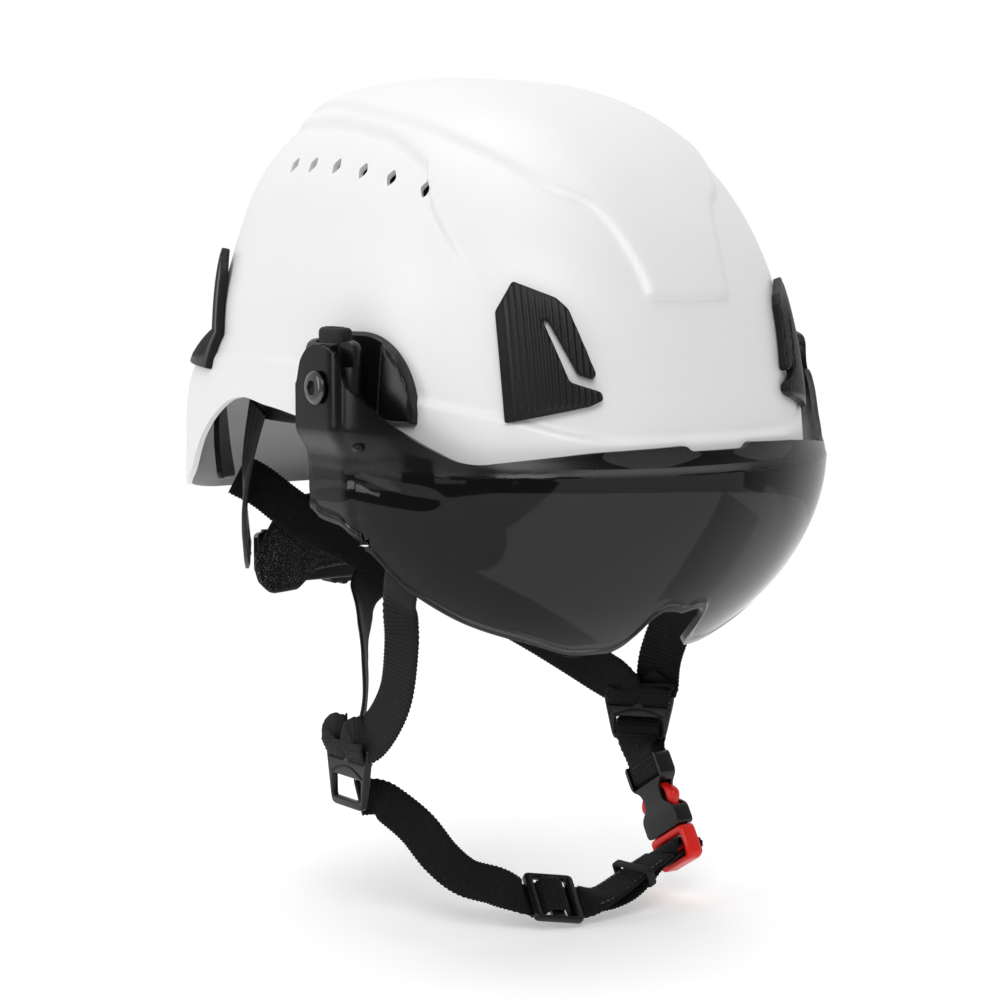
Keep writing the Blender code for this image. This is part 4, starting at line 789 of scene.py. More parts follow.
def grid_normals(points):
    along = np.roll(points, -1, axis=1) - np.roll(points, 1, axis=1)
    up = np.gradient(points, axis=0)
    normal = np.cross(along, up)
    return normal / np.linalg.norm(normal, axis=-1)[..., None]


def make_shell():
    plan, height = dome_grid(400, 170, lambda p: table_at(BRIM, np.abs(p)), FLANGE_TOP, 0.0)
    points = shell_points(plan[None, :], height)
    points = points + grid_normals(points) * shell_relief(points)[..., None]
    crown = (0, SHELL_Y + SHELL_LEAN, SHELL_TOP + 0.0011)
    mesh = grid_mesh("shell_surface", points, closed=True, pole=crown)
    shell = add_object("shell_surface", mesh, "shell", replaces=("shell",), smooth=0)
    solidify(shell, SHELL_WALL)
    bm = bmesh.new()
    for side in (-1, 1):
        for plan_angle, at in VENTS:
            add_vent(bm, side * plan_angle, at)
    cut(shell, mesh_of("vents", bm))
    shade(shell.data, 38)
    bevel(shell, 0.0007, 2, 55.0)


def add_vent(bm, plan, height):
    """A slanted four-sided opening with softened corners."""
    normal = shell_normal(plan, height)
    up = Vector((0, 0, 1)) - normal * normal.z
    matrix = frame_matrix(shell_point(plan, height), up.cross(normal), up)
    outline = rounded([(-0.0029, 0.0010), (0.0000, 0.0044), (0.0027, -0.0008), (-0.0004, -0.0046)], 0.0016, 3)
    prism_into(bm, *([matrix @ Vector((x, y, depth)) for x, y in outline] for depth in VENT_DEPTHS))


def make_liner():
    """Foam liner with shallow channels moulded into its inner face."""
    plan, height = dome_grid(160, 60, lambda p: np.full_like(p, 0.052), 0.072, 0.0080)
    outer = shell_points(plan[None, :], height, 0.0080)
    normal = grid_normals(outer)
    channel = 0.0024 * np.clip(np.cos(np.radians(plan * 8)), 0, 1)[None, :] ** 0.5
    channel = channel * smoothstep(0.140, 0.115, height) * smoothstep(0.056, 0.066, height)
    inner = outer - normal * (0.0071 - channel)[..., None]
    points = np.concatenate([inner[::-1], outer], axis=0)
    pole_z = SHELL_TOP - 0.0080
    mesh = grid_mesh("liner_foam", points, closed=True,
                     pole=(0, SHELL_Y + SHELL_LEAN * pole_z / SHELL_TOP, pole_z))
    close_mesh(mesh)
    add_object("liner_foam", mesh, "foam", replaces=("impact_liner",))


def make_crown_strap(name, plan, lift):
    top = SHELL_TOP - CROWN_INSET
    middle = Vector((0, SHELL_Y + SHELL_LEAN * top / SHELL_TOP, top - 0.003 + lift))
    ahead = Vector((math.sin(math.radians(plan)), -math.cos(math.radians(plan)), 0))
    halves = []
    for direction, sign in ((plan, 1), (plan + 180, -1)):
        half = [shell_point((direction + 180) % 360 - 180, height, CROWN_INSET)
                for height in (CROWN_RIM, 0.060, 0.085, 0.105, 0.118)]
        halves.append(half + [middle + ahead * sign * CROWN_FLAT])
    route = halves[0] + [middle] + halves[1][::-1]
    across = Vector((math.cos(math.radians(plan)), math.sin(math.radians(plan)), 0))
    centre, at = curve_through(route, RIB / 2)
    along = directions(centre)
    wide = np.broadcast_to(np.array(across[:]), centre.shape)
    woven(name + "_webbing", centre, wide, np.cross(wide, along), at, "webbing", WEBBING_WIDTH,
          WEBBING_THICKNESS, None, (name,))


def band_point(plan, height, inset=0.0):
    side, ahead = math.sin(math.radians(plan)), math.cos(math.radians(plan))
    long_axis = (BAND_FRONT if ahead > 0 else BAND_REAR) - inset
    return Vector(((BAND_HALF_WIDTH - inset) * float(signed_power(side, 2 / PLAN_POWER)),
                   SHELL_Y - long_axis * float(signed_power(ahead, 2 / PLAN_POWER)), height))


def band_low(plan):
    return 0.0095 - 0.0030 * float(smoothstep(-50, -5, -abs(plan)))


def make_headband():
    """The band with a raised bead along each edge, its front pad, and the arms to the nape."""
    plans = np.linspace(-BAND_END, BAND_END, 150)
    rows = []
    for share in np.linspace(0, 1, 22):
        bead = 0.0005 * (abs(share - 0.5) > 0.40) - 0.0003 * (abs(share - 0.5) < 0.06)
        rows.append([band_point(p, band_low(p) + BAND_HEIGHT * share, -bead)[:] for p in plans])
    band = add_object("headband_moulding", grid_mesh("headband_moulding", np.array(rows)), "plastic",
                      replaces=("headband",))
    solidify(band, BAND_WALL)
    bevel(band, 0.0005, 2)
    plans = np.linspace(-62, 62, 110)
    outer, inner = [], []
    for share in np.linspace(0, 1, 24):
        puff = math.sqrt(max(1 - abs(2 * share - 1) ** 6, 0.0))
        row_out, row_in = [], []
        for p in plans:
            end = math.sqrt(max(1 - (abs(p) / 62) ** 30, 0.0))
            ripple = 0.0004 * math.sin(p * 0.9) * math.sin(share * math.pi)
            seam = -0.0009 * math.exp(-((share - 0.5) / 0.05) ** 2)
            z = band_low(p) + 0.0010 + 0.0195 * share
            row_out.append(band_point(p, z, BAND_WALL + 0.0004 + 0.0018 * (1 - puff * end))[:])
            row_in.append(band_point(p, z, BAND_WALL + 0.0030 + (0.0024 + seam + ripple) * puff * end)[:])
        outer.append(row_out)
        inner.append(row_in)
    mesh = slab_mesh("brow_pad_fabric", np.array(inner), np.array(outer))
    add_object("brow_pad_fabric", mesh, "fleece", replaces=("brow_pad",), smooth=70)
    for name, side in SIDES:
        route = [Vector((x * side, y, z)) for x, y, z in ARM_ROUTE]
        facings = [(side, 0.10, 0), (side * 0.84, 0.54, 0), (side * 0.78, 0.62, 0)]
        centre, across, out, at = strap_frames(route, facings, 0.0012)
        places = np.linspace(-1, 1, 15)
        lift = 0.0004 * (np.abs(places) > 0.80) - 0.0003 * (np.abs(places) < 0.10)
        points = (centre[:, None] + across[:, None] * (places * 0.0075)[None, :, None]
                  + out[:, None] * (lift + 0.0007)[None, :, None])
        arm = add_object(f"band_arm_{name}_moulding", grid_mesh(f"arm_{name}", points), "plastic",
                         replaces=(f"band_arm_{name}",))
        solidify(arm, BAND_WALL, -1.0 if side < 0 else 1.0)
        bevel(arm, 0.0005, 2)


def slab_mesh(name, inner, outer):
    """A solid between two matching grids of points."""
    bm = bmesh.new()
    sides = [[[bm.verts.new(p) for p in row] for row in grid] for grid in (inner, outer)]
    tall, wide = inner.shape[:2]
    for grid in sides:
        for r in range(tall - 1):
            for c in range(wide - 1):
                bm.faces.new((grid[r][c], grid[r][c + 1], grid[r + 1][c + 1], grid[r + 1][c]))
    rim = ([(0, c) for c in range(wide)] + [(r, wide - 1) for r in range(1, tall)]
           + [(tall - 1, c) for c in range(wide - 2, -1, -1)] + [(r, 0) for r in range(tall - 2, 0, -1)])
    for (r, c), (s, d) in zip(rim, rim[1:] + rim[:1]):
        bm.faces.new((sides[0][r][c], sides[0][s][d], sides[1][s][d], sides[1][r][c]))
    return mesh_of(name, bm)


def make_crown_pad():
    """A square pad with rounded corners, puffed between a seam round its edge."""
    low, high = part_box("crown_pad")
    middle = (Vector(low) + Vector(high)) / 2
    half, thick = (high[0] - low[0]) / 2, (high[2] - low[2]) / 2
    grids = []
    for sign in (-1, 1):
        rows = []
        for v in np.linspace(-1, 1, 40):
            row = []
            for u in np.linspace(-1, 1, 40):
                square = max(abs(u), abs(v)) / max(math.hypot(u, v), 1e-6)
                pull = 1 - (1 - square) * 0.35 * (abs(u * v)) ** 1.5
                puff = (1 - abs(u) ** 5) * (1 - abs(v) ** 5)
                x, y = middle.x + u * half * pull, middle.y + v * half * pull
                row.append((x, y, middle.z + sign * thick * (0.18 + 0.80 * puff ** 0.5)))
            rows.append(row)
        grids.append(np.array(rows))
    mesh = slab_mesh("crown_pad_fabric", grids[0], grids[1])
    add_object("crown_pad_fabric", mesh, "fleece", replaces=("crown_pad",), smooth=70)


# ------------------------------------------------------------------ nape fitting

def make_nape_pad():
    """The nape pad: thick foam under brushed fabric, pinched along its edge, with a stitched seam."""
    xs = np.concatenate([np.linspace(-0.0689, -0.040, 44)[:-1], np.linspace(-0.040, 0.040, 80),
                         np.linspace(0.040, 0.0689, 44)[1:]])
    inner, outer = [], []
    for x in xs:
        low, high = float(table_at(PAD_LOWER, abs(x))), float(table_at(PAD_UPPER, abs(x)))
        y = PAD_END_Y + (PAD_MIDDLE_Y - PAD_END_Y) * math.exp(-(x / PAD_SPREAD) ** 2)
        slope = -2 * x / PAD_SPREAD ** 2 * (y - PAD_END_Y)
        normal = Vector((-slope, 1, 0)).normalized()
        row_in, row_out = [], []
        for share in np.linspace(0, 1, 34):
            end = math.sqrt(max(1 - (abs(x) / 0.0692) ** 18, 0.0))
            puff = (max(1 - abs(2 * share - 1) ** 5, 0.0)) ** 0.5 * end
            seam = math.exp(-((min(share, 1 - share) * (high - low) - 0.0034) / 0.0006) ** 2)
            wave = 0.00035 * math.sin(x * 420 + share * 3) * math.sin(share * 9 + x * 90)
            depth = PAD_THICKNESS / 2 * (0.20 + 0.80 * puff)
            middle = Vector((x, y, low + (high - low) * share)) + normal * PAD_THICKNESS / 2
            row_in.append((middle - normal * (depth - 0.0007 * seam + wave * puff))[:])
            row_out.append((middle + normal * (depth - 0.0007 * seam))[:])
        inner.append(row_in)
        outer.append(row_out)
    mesh = slab_mesh("nape_pad_fabric", np.array(inner), np.array(outer))
    add_object("nape_pad_fabric", mesh, "fleece", replaces=("nape_pad",), smooth=70)


def make_knob():
    """A ribbed knob with a dished cap."""
    outline = []
    for k in range(KNOB_RIBS * 16):
        turn = 2 * math.pi * k / (KNOB_RIBS * 16)
        wave = np.clip(math.cos(turn * KNOB_RIBS) * 2.2, -1, 1)
        radius = KNOB_RADIUS - 0.0009 * (1 - wave) / 2
        outline.append((radius * math.cos(turn), radius * math.sin(turn)))
    rim = plate_mesh("knob", [outline], 0.0105, frame_matrix((0, 0.1399, NAPE_Z), (1, 0, 0), (0, 0, 1)), 0.0007)
    knob = add_object("ratchet_knob_moulding", rim, "rubber", replaces=("ratchet_knob",))
    bm = bmesh.new()
    outward = frame_matrix((0, 0.1399, NAPE_Z), (-1, 0, 0), (0, 0, 1))
    lathe_into(bm, ((0, 0.0046), (0.0090, 0.0049), (0.0148, 0.0060), (0.0152, 0.0090), (0, 0.0090)),
               outward, 72)
    cut(knob, mesh_of("dish", bm))
    bm = bmesh.new()
    lathe_into(bm, ((0, -0.0080), (0.0074, -0.0080), (0.0074, 0.0), (0, 0.0)), outward, 48)
    lathe_into(bm, ((0, 0.0040), (0.0062, 0.0040), (0.0060, 0.0055), (0.0052, 0.0059), (0, 0.0060)),
               outward, 48)
    hub = add_object("ratchet_knob_hub", mesh_of("knob_hub", bm), "satin", body="ratchet_wheel")
    bevel(hub, 0.0002, 2)


# ------------------------------------------------------------------ headlamp clips

def make_clips():
    """Hooked clips that follow the shell, with fine upright ribs on their outer face."""
    for label, plan, height, forward in CLIPS:
        for name, side in SIDES:
            centre = shell_point(side * plan, height)
            above, below = (shell_point(side * plan, height + d) for d in (0.022, -0.022))
            up = (above - below).normalized()
            tangent = shell_point(side * plan + 1, height) - shell_point(side * plan - 1, height)
            normal = tangent.cross(above - below).normalized()
            ahead = up.cross(normal)
            if ahead.y * forward > 0:
                ahead = -ahead
            outline = rounded(CLIP_OUTLINE, 0.0011, 3)
            mesh = plate_mesh(label, [outline], CLIP_THICKNESS, Matrix.Identity(4), 0.0007, 2)
            bm = bmesh.new()
            bm.from_mesh(mesh)
            bpy.data.meshes.remove(mesh)
            for place, direction, step in ((0.020, (1, 0, 0), 0.0006), (0.027, (0, 1, 0), 0.0030)):
                for at in np.arange(-place, place, step):
                    bmesh.ops.bisect_plane(bm, geom=bm.verts[:] + bm.edges[:] + bm.faces[:],
                                           plane_co=Vector(direction) * at, plane_no=direction)
            for vert in bm.verts:
                x, y, z = vert.co
                inside = smoothstep(-0.0150, -0.0135, x) * smoothstep(0.0260, 0.0100, y + 0.55 * x)
                inside *= smoothstep(-0.0235, -0.0215, y)
                rib = 0.00028 * math.cos(2 * math.pi * x / 0.0024) * inside * (z > CLIP_THICKNESS * 0.3)
                flat = centre + ahead * x + up * y
                under, out = shell_under(flat)
                vert.co = under + out * (0.0004 + CLIP_THICKNESS / 2 + z + rib)
            add_object(f"{label}_{name}_moulding", mesh_of(label, bm), "plastic",
                       replaces=(f"{label}_{name}",), smooth=50)


# ------------------------------------------------------------------ visor and its hinges

def lens_point(plan, height):
    """A point of the lens's outer face, and the way it faces."""
    tuck = max((LENS_TOP - height) / 0.080, 0.0) ** TUCK_POWER
    half, deep = LENS_A - TUCK_A * tuck, LENS_B - TUCK_B * tuck
    angle = math.radians(plan)
    x = half * float(signed_power(math.sin(angle), 2 / LENS_POWER))
    y = PIVOT.y - deep * abs(math.cos(angle)) ** (2 / LENS_POWER)
    out = Vector((x / half, (y - PIVOT.y) / deep, 0)).normalized()
    brow = BROW_EDGE_SWELL + (BROW_SWELL - BROW_EDGE_SWELL) * smoothstep(-LENS_TOP, -BROW_HEIGHT, -height)
    brow *= smoothstep(-0.050, BROW_HEIGHT, height) * smoothstep(-62, -44, -abs(plan))
    return Vector((x, y, height)) + out * float(brow + shoulder(abs(plan), height)), out


def shoulder(plan, height):
    rise = smoothstep(SHOULDER_FOOT, SHOULDER_FOOT + SHOULDER_HEIGHT, height)
    return float(table_at(SHOULDER_SWELL, plan) * rise)


def arm_point(y, height):
    """A point of the left arm's outer face, and the way it faces."""
    tuck = max((LENS_TOP - height) / 0.080, 0.0) ** TUCK_POWER
    half, deep = LENS_A - TUCK_A * tuck, LENS_B - TUCK_B * tuck
    ahead = min(max((PIVOT.y - y) / deep, 0.0), 1.0)
    ahead *= float(smoothstep(0.05, 0.15, ahead))
    x = half * (1 - ahead ** LENS_POWER) ** (1 / LENS_POWER)
    return Vector((x + shoulder(90 - 10 * min(ahead / 0.15, 1.0), height), y, height)), Vector((1, 0, 0))


def visor_columns():
    arm = np.concatenate([np.linspace(-0.0540, -0.0500, 7), np.linspace(-0.0485, -0.0290, 12),
                          np.linspace(-0.0280, -0.0234, 9)])
    plans = np.concatenate([np.linspace(0, 12, 17), np.linspace(12, 80, 62)[1:]])
    plans = np.concatenate([-plans[:0:-1], plans])
    columns = [(-1, y, float(table_at(ARM_UPPER, y)), float(table_at(ARM_LOWER, y))) for y in arm[::-1]]
    columns += [(0, p, float(table_at(LENS_UPPER, abs(p))), float(table_at(LENS_LOWER, abs(p)))) for p in plans]
    return columns + [(1, y, float(table_at(ARM_UPPER, y)), float(table_at(ARM_LOWER, y))) for y in arm]


def make_visor():
    """The smoke lens: a thick rim below, a shoulder band above, and an arm with a crease to each hinge."""
    shares = np.concatenate([np.linspace(0, 0.06, 7)[:-1], np.linspace(0.06, 0.72, 30)[:-1],
                             np.linspace(0.72, 1.0, 30)])
    rows = []
    for share in shares:
        row = []
        for side, place, upper, lower in visor_columns():
            height = lower + (upper - lower) * share
            if side:
                point, out = arm_point(place, height)
                point, out = Vector((point.x * side, point.y, point.z)), Vector((out.x * side, 0, 0))
                plan = 88.0
            else:
                point, out = lens_point(place, height)
                plan = abs(place)
            rim = 0.0007 * float(smoothstep(-0.0042, -0.0022, -(height - lower)))
            band = -0.0006 * float(smoothstep(BAND_FOOT - 0.0005, BAND_FOOT + 0.0003, height)
                                   * smoothstep(-64, -54, -plan))
            crease_z = -0.0050 - 0.0060 * float(smoothstep(86, 60, plan))
            crease = -0.0006 * math.exp(-((height - crease_z) / 0.0034) ** 2) * float(smoothstep(56, 64, plan))
            row.append((point + out * (rim + band + crease))[:])
        rows.append(row)
    visor = add_object("visor_lens", grid_mesh("visor_lens", np.array(rows)), "smoke",
                       replaces=("visor",), smooth=0)
    # the lower rows take the rim material: its lighter tint is a painted highlight along the lens's edge
    visor.data.materials.append(MATERIALS["rim"])
    wide = len(rows[0]) - 1
    for face in visor.data.polygons:
        face.material_index = int(face.index // wide < RIM_ROWS)
    solidify(visor, VISOR_WALL)
    bevel(visor, 0.0009, 4, 50.0)
    apply_modifiers(visor)
    bm = bmesh.new()
    for side in (-1, 1):
        axle = frame_matrix((side * 0.120, PIVOT.y, PIVOT.z), (0, 1, 0), (0, 0, 1))
        lathe_into(bm, ((0, -0.010), (0.0042, -0.010), (0.0042, 0.010), (0, 0.010)), axle, 40)
    cut(visor, mesh_of("bores", bm))
    shade(visor.data, 50)
    for name, side in SIDES:
        bm = bmesh.new()
        made = bmesh.ops.create_uvsphere(bm, u_segments=28, v_segments=16, radius=1.0)["verts"]
        for vert in made:
            x, y, z = vert.co
            taper = 1 - 0.45 * (y + 1) / 2
            vert.co = (x * 0.0021 * taper * side, y * 0.0040, z * 0.0024 * taper)
        bmesh.ops.translate(bm, vec=(side * 0.1166, -0.0575, 0.0075), verts=made)
        add_object(f"visor_stop_{name}", mesh_of("stop", bm), "smoke", body="visor_assembly")


def rounded_block(name, low, high, radius, segments, material, side, replaces):
    """A box with rounded edges, given for the wearer's left and mirrored for side -1."""
    bm = bmesh.new()
    xs = sorted((low[0] * side, high[0] * side))
    box_into(bm, (xs[0], low[1], low[2]), (xs[1], high[1], high[2]), round_by=radius, segments=segments)
    return add_object(name, mesh_of(name, bm), material, replaces=replaces)


def box_mesh(low, high, side):
    bm = bmesh.new()
    xs = sorted((low[0] * side, high[0] * side))
    box_into(bm, (xs[0], low[1], low[2]), (xs[1], high[1], high[2]))
    return mesh_of("cutter", bm)


def make_hinges():
    """Each hinge's housing, button, washer and screw."""
    for name, side in SIDES:
        housing = rounded_block(f"hinge_housing_{name}_moulding", *HOUSING, 0.0045, 5, "satin", side,
                                (f"hinge_housing_{name}",))
        play = 0.00035
        cut(housing, box_mesh((BUTTON[0][0] - play, BUTTON[0][1] - play, 0.0352),
                              (BUTTON[1][0] + play, BUTTON[1][1] + play, 0.060), side))
        relief = bmesh.new()
        prism_into(relief, *([(side * x, y, z) for x, y in HOUSING_RELIEF] for z in RELIEF_HEIGHTS))
        cut(housing, mesh_of("relief", relief))
        bevel(housing, 0.0004, 2, 40)
        rounded_block(f"push_button_{name}_cap", *BUTTON, 0.0021, 5, "rubber", side, (f"push_button_{name}",))
        bm = bmesh.new()
        for k in range(5):
            y = BUTTON[0][1] + 0.0045 + k * 0.0020
            box_into(bm, (min(side * 0.1120, side * 0.1156), y, BUTTON[1][2] - 0.0002),
                     (max(side * 0.1120, side * 0.1156), y + 0.0008, BUTTON[1][2] + 0.0002), round_by=0.00015)
        add_object(f"push_button_{name}_ribs", mesh_of("ribs", bm), "rubber", body=f"button_{name}")
        axle = frame_matrix((0, PIVOT.y, PIVOT.z), (0, -side, 0), (0, 0, 1))
        bm = bmesh.new()
        low, high = HOUSING[1][0] + 0.0003, DISC_FACE - VISOR_WALL - 0.0003
        lathe_into(bm, ((0.0040, low), (0.0074, low), (0.0078, low + 0.0004), (0.0078, high - 0.0004),
                        (0.0074, high), (0.0040, high), (0.0040, low)), axle, 56)
        add_object(f"pivot_washer_{name}_ring", mesh_of("washer", bm), "rubber",
                   replaces=(f"pivot_washer_{name}",))
        bm = bmesh.new()
        head = DISC_FACE + 0.0003
        lathe_into(bm, ((0, 0.1125), (0.0036, 0.1125), (0.0036, head), (0.0062, head), (0.0066, head + 0.0004),
                        (0.0066, head + 0.0013), (0.0060, head + 0.0021), (0.0045, head + 0.0026),
                        (0, head + 0.0027)), axle, 56)
        screw = add_object(f"pivot_screw_{name}_head", mesh_of("screw", bm), "steel",
                           replaces=(f"pivot_screw_{name}",))
        bm = bmesh.new()
        lathe_into(bm, ((0, head + 0.0010), (0.0030, head + 0.0010), (0.0034, head + 0.0040),
                        (0, head + 0.0040)), axle, 6)
        cut(screw, mesh_of("socket", bm))
        shade(screw.data, 35)
        make_hinge_base(name, side)


def plan_of(y, height):
    """The plan angle at which the shell's face has this y."""
    low, high = 20.0, 160.0
    for _ in range(30):
        middle = (low + high) / 2
        if shell_points(middle, height)[1] < y:
            low = middle
        else:
            high = middle
    return low


def make_hinge_base(name, side):
    """The fairing that hugs the shell, rising to a quarter round ahead of the hinge."""
    low, rear, turn, front, height = 0.0160, -0.0200, -0.038, -0.0670, 0.0350
    inner, outer = [], []
    for y in np.concatenate([np.linspace(rear, -0.052, 20), np.linspace(-0.0525, front + 0.0002, 26)]):
        round_share = max((turn - y) / (turn - front), 0.0)
        rise = height * math.sqrt(max(1 - round_share ** 2, 0.002))
        thick = 0.0017 + 0.0043 * float(smoothstep(0.0490, 0.0530, -y))
        row_in, row_out = [], []
        for share in np.linspace(0, 1, 22):
            z = low + rise * share
            plan = plan_of(y, z)
            surface, normal = shell_point(plan, z), shell_normal(plan, z)
            near = min((1 - share) * rise, (y - front + 0.0002) * 1.2, share * rise + 0.0006)
            edge = math.sqrt(max(1 - (1 - min(near / min(0.0024, thick), 1.0)) ** 2, 0.0))
            inner_point, outer_point = surface + normal * 0.0005, surface + normal * (0.0006 + thick * edge)
            row_in.append((inner_point.x * side, inner_point.y, inner_point.z))
            row_out.append((outer_point.x * side, outer_point.y, outer_point.z))
        inner.append(row_in)
        outer.append(row_out)
    mesh = slab_mesh(f"hinge_base_{name}", np.array(inner), np.array(outer))
    add_object(f"hinge_base_{name}_fairing", mesh, "satin", replaces=(f"hinge_base_{name}",), smooth=45)


# ------------------------------------------------------------------ chin harness

def make_dividers():
    """Strap dividers: a moulded triangle with two slots above, one below, and an arch over the lower one."""
    for name, side in SIDES:
        origin, across, size = DIVIDERS[name]
        matrix = frame_matrix(origin, across, (0, 0, 1))
        outline = rounded([(x, y * size) for x, y in DIVIDER_OUTLINE], 0.0032, 6)
        slots = [rounded([(x, y * size) for x, y in slot], 0.0010, 4) for slot in DIVIDER_SLOTS]
        mesh = plate_mesh(f"divider_{name}", [outline, *slots], 0.0032, matrix, 0.0010, 3)
        add_object(f"strap_divider_{name}_moulding", mesh, "satin", replaces=(f"strap_divider_{name}",))
        bm = bmesh.new()
        for face in (-1, 1):
            arch = [(t * ARCH_HALF, (ARCH_FOOT + ARCH_RISE * (1 - t * t)) * size)
                    for t in np.linspace(-1, 1, 25)]
            for k in range(24):
                (xa, ya), (xb, yb) = arch[k], arch[k + 1]
                low = matrix @ Vector(((xa + xb) / 2, (ya + yb) / 2, face * 0.0016))
                made = bmesh.ops.create_uvsphere(bm, u_segments=10, v_segments=8, radius=0.0006)["verts"]
                bmesh.ops.translate(bm, vec=low, verts=made)
        add_object(f"strap_divider_{name}_arch", mesh_of("arch", bm), "satin", body=ROOT)


def make_side_straps():
    """The four side straps, each carried over its divider's top bar and into the slot."""
    for name, side in SIDES:
        far_side = "left" if side < 0 else "right"          # the rear straps cross behind the neck
        for kind, divider, route, facings in (("front", name, FRONT_ROUTES[name], FRONT_FACINGS[name]),
                                              ("rear", far_side, REAR_ROUTES[name], REAR_FACINGS[name])):
            origin, across, size = DIVIDERS[divider]
            matrix = frame_matrix(origin, across, (0, 0, 1))
            local = matrix.inverted() @ Vector(route[-1])
            middle = math.copysign(SLOT_MIDDLE, local.x)
            bar_y, slot_y = 0.0101 * size, 0.0063 * size
            tuck = [matrix @ Vector((middle, y, z)) for y, z in
                    ((bar_y + 0.0046, 0.0027), (bar_y, 0.0031), (slot_y, 0.0008), (slot_y - 0.0006, -0.0022))]
            centre, across, out, at = strap_frames([*route, *tuck], facings, end=matrix.col[2].xyz)
            narrow = smoothstep(0.020, 0.004, at[-1] - at)
            woven(f"{kind}_strap_{name}_webbing", centre, across, out, at, "webbing",
                  WEBBING_WIDTH - 0.0056 * narrow, WEBBING_THICKNESS, None, (f"{kind}_strap_{name}",))


def make_hangers():
    """Tabs inside the shell, with a rounded foot and the bar that each strap turns round."""
    for name, side in SIDES:
        for kind, route, facings in (("front", FRONT_HANGER, [(side, -0.25, 0), (side, -0.25, 0)]),
                                     ("rear", REAR_HANGER, [(side * 0.72, 0.69, 0), (side * 0.6, 0.8, 0)])):
            points = [Vector((x * side, y, z)) for x, y, z in route]
            centre, across, out, at = strap_frames(points, facings, 0.0010)
            share = at / at[-1]
            half = 0.0075 - 0.0012 * np.cos(np.pi * np.clip(share * 2, 0, 1)) * 0.5
            half[-3:] -= np.array([0.0002, 0.0006, 0.0014])
            places = np.linspace(-1, 1, 15)
            points = centre[:, None] + across[:, None] * (places[None, :] * half[:, None])[..., None]
            tab = add_object(f"{kind}_hanger_{name}_tab", grid_mesh("tab", points), "satin",
                             replaces=(f"{kind}_hanger_{name}",))
            solidify(tab, 0.0026, 0.0)
            bevel(tab, 0.0009, 3)


def stitch_line(bm, points, facing, length=0.0022, gap=0.0012, radius=0.00022):
    """Short raised stitches along a polyline."""
    centre, at = curve_through(points, 0.0004)
    step = length + gap
    for k in range(int(at[-1] / step)):
        near = [i for i in range(len(at)) if k * step + gap / 2 <= at[i] <= k * step + gap / 2 + length]
        if len(near) < 2:
            continue
        a, b = Vector(centre[near[0]]), Vector(centre[near[-1]])
        along = (b - a).normalized()
        matrix = frame_matrix((a + b) / 2, along, Vector(facing).cross(along))
        made = bmesh.ops.create_uvsphere(bm, u_segments=8, v_segments=6, radius=1.0)["verts"]
        for vert in made:
            x, y, z = vert.co
            vert.co = matrix @ Vector((x * length / 2, y * radius * 1.4, z * radius))


def make_chin_strap():
    """The chin strap and its end, threaded through the adjuster, and the end's turn through the buckle and
    back."""
    adjuster = adjuster_frame()
    flat = adjuster.col[2].xyz
    for name, route, facings, side in (("chin_strap", CHIN_ROUTE, CHIN_FACINGS, -1),
                                       ("chin_strap_end", CHIN_END_ROUTE[::-1], CHIN_END_FACINGS[::-1], 1)):
        threaded = [adjuster @ Vector((side * x, 0, z)) for x, z in ADJUSTER_THREAD]
        centre, across, out, at = strap_frames([*route, *threaded], facings, end=flat)
        woven(f"{name}_webbing", centre, across, out, at, "webbing", CHIN_WIDTH, WEBBING_THICKNESS,
              None, (name,))
    fold = [adjuster @ Vector((x, 0, z)) for x, z in ADJUSTER_FOLD]
    webbing("chin_strap_fold", fold, [flat, flat], CHIN_WIDTH, ROOT)
    frame = buckle_frame()
    route = [CHIN_END_ROUTE[-1]] + [frame @ Vector((0, y - BUCKLE_LENGTH, z)) for y, z in CHIN_WRAP]
    centre, at = curve_through(route, RIB / 5)
    along = directions(centre)
    bar = np.array(frame.col[0].xyz[:])
    end_centre, end_across, end_out, end_at = strap_frames(CHIN_END_ROUTE, CHIN_END_FACINGS)
    bar *= math.copysign(1.0, float(np.dot(bar, end_across[-1])))
    turn = smoothstep(0.0, 0.010, at)[:, None] * smoothstep(0.0, 0.010, at[-1] - at)[:, None]
    wide = end_across[-1] * (1 - turn) + bar * turn
    wide = wide - along * np.sum(wide * along, axis=1)[:, None]
    wide /= np.linalg.norm(wide, axis=1)[:, None]
    woven("chin_strap_wrap", centre, wide, np.cross(wide, along), at, "webbing", 0.0176, 0.0014,
          (ROOT, "buckle_tongue", tuple(route[0]), tuple(route[1])), ())
    share = end_at / end_at[-1]
    apart = 0.0017 + 0.0033 * np.sin(np.pi * np.clip(share / 0.92, 0, 1)) ** 2
    apart = apart + float((Vector(route[-1]) - Vector(route[0])).length - 0.0017) * smoothstep(0.80, 1.0, share)
    drop = Vector(route[-1]) - Vector(route[0])
    lean = smoothstep(0.70, 1.0, share)[:, None]
    below = -end_out * math.copysign(1.0, float(end_out[-1][2]))
    away = below * (1 - lean) + np.array(drop.normalized()[:]) * lean
    back = end_centre + away * apart[:, None]
    woven("chin_strap_return", back, end_across, end_out, end_at, "webbing", 0.0170, 0.0013, ROOT, ())
    bm = bmesh.new()
    for layer, lift in ((end_centre, -below * 0.0009), (back, below * 0.0009)):
        for edge in (-0.0066, 0.0066):
            points = (layer + lift + end_across * edge)[6:-6:4]
            stitch_line(bm, points.tolist(), Vector(lift[len(lift) // 2]), 0.0018, 0.0010, 0.00018)
    add_object("chin_strap_end_stitches", mesh_of("stitches", bm), "pale_thread", body=ROOT)


def buckle_frame():
    """The buckle's frame: local X across, local Y towards the divider, local Z facing out."""
    return frame_matrix(BUCKLE_TOP, BUCKLE_FACE_ACROSS, -BUCKLE_AXIS)


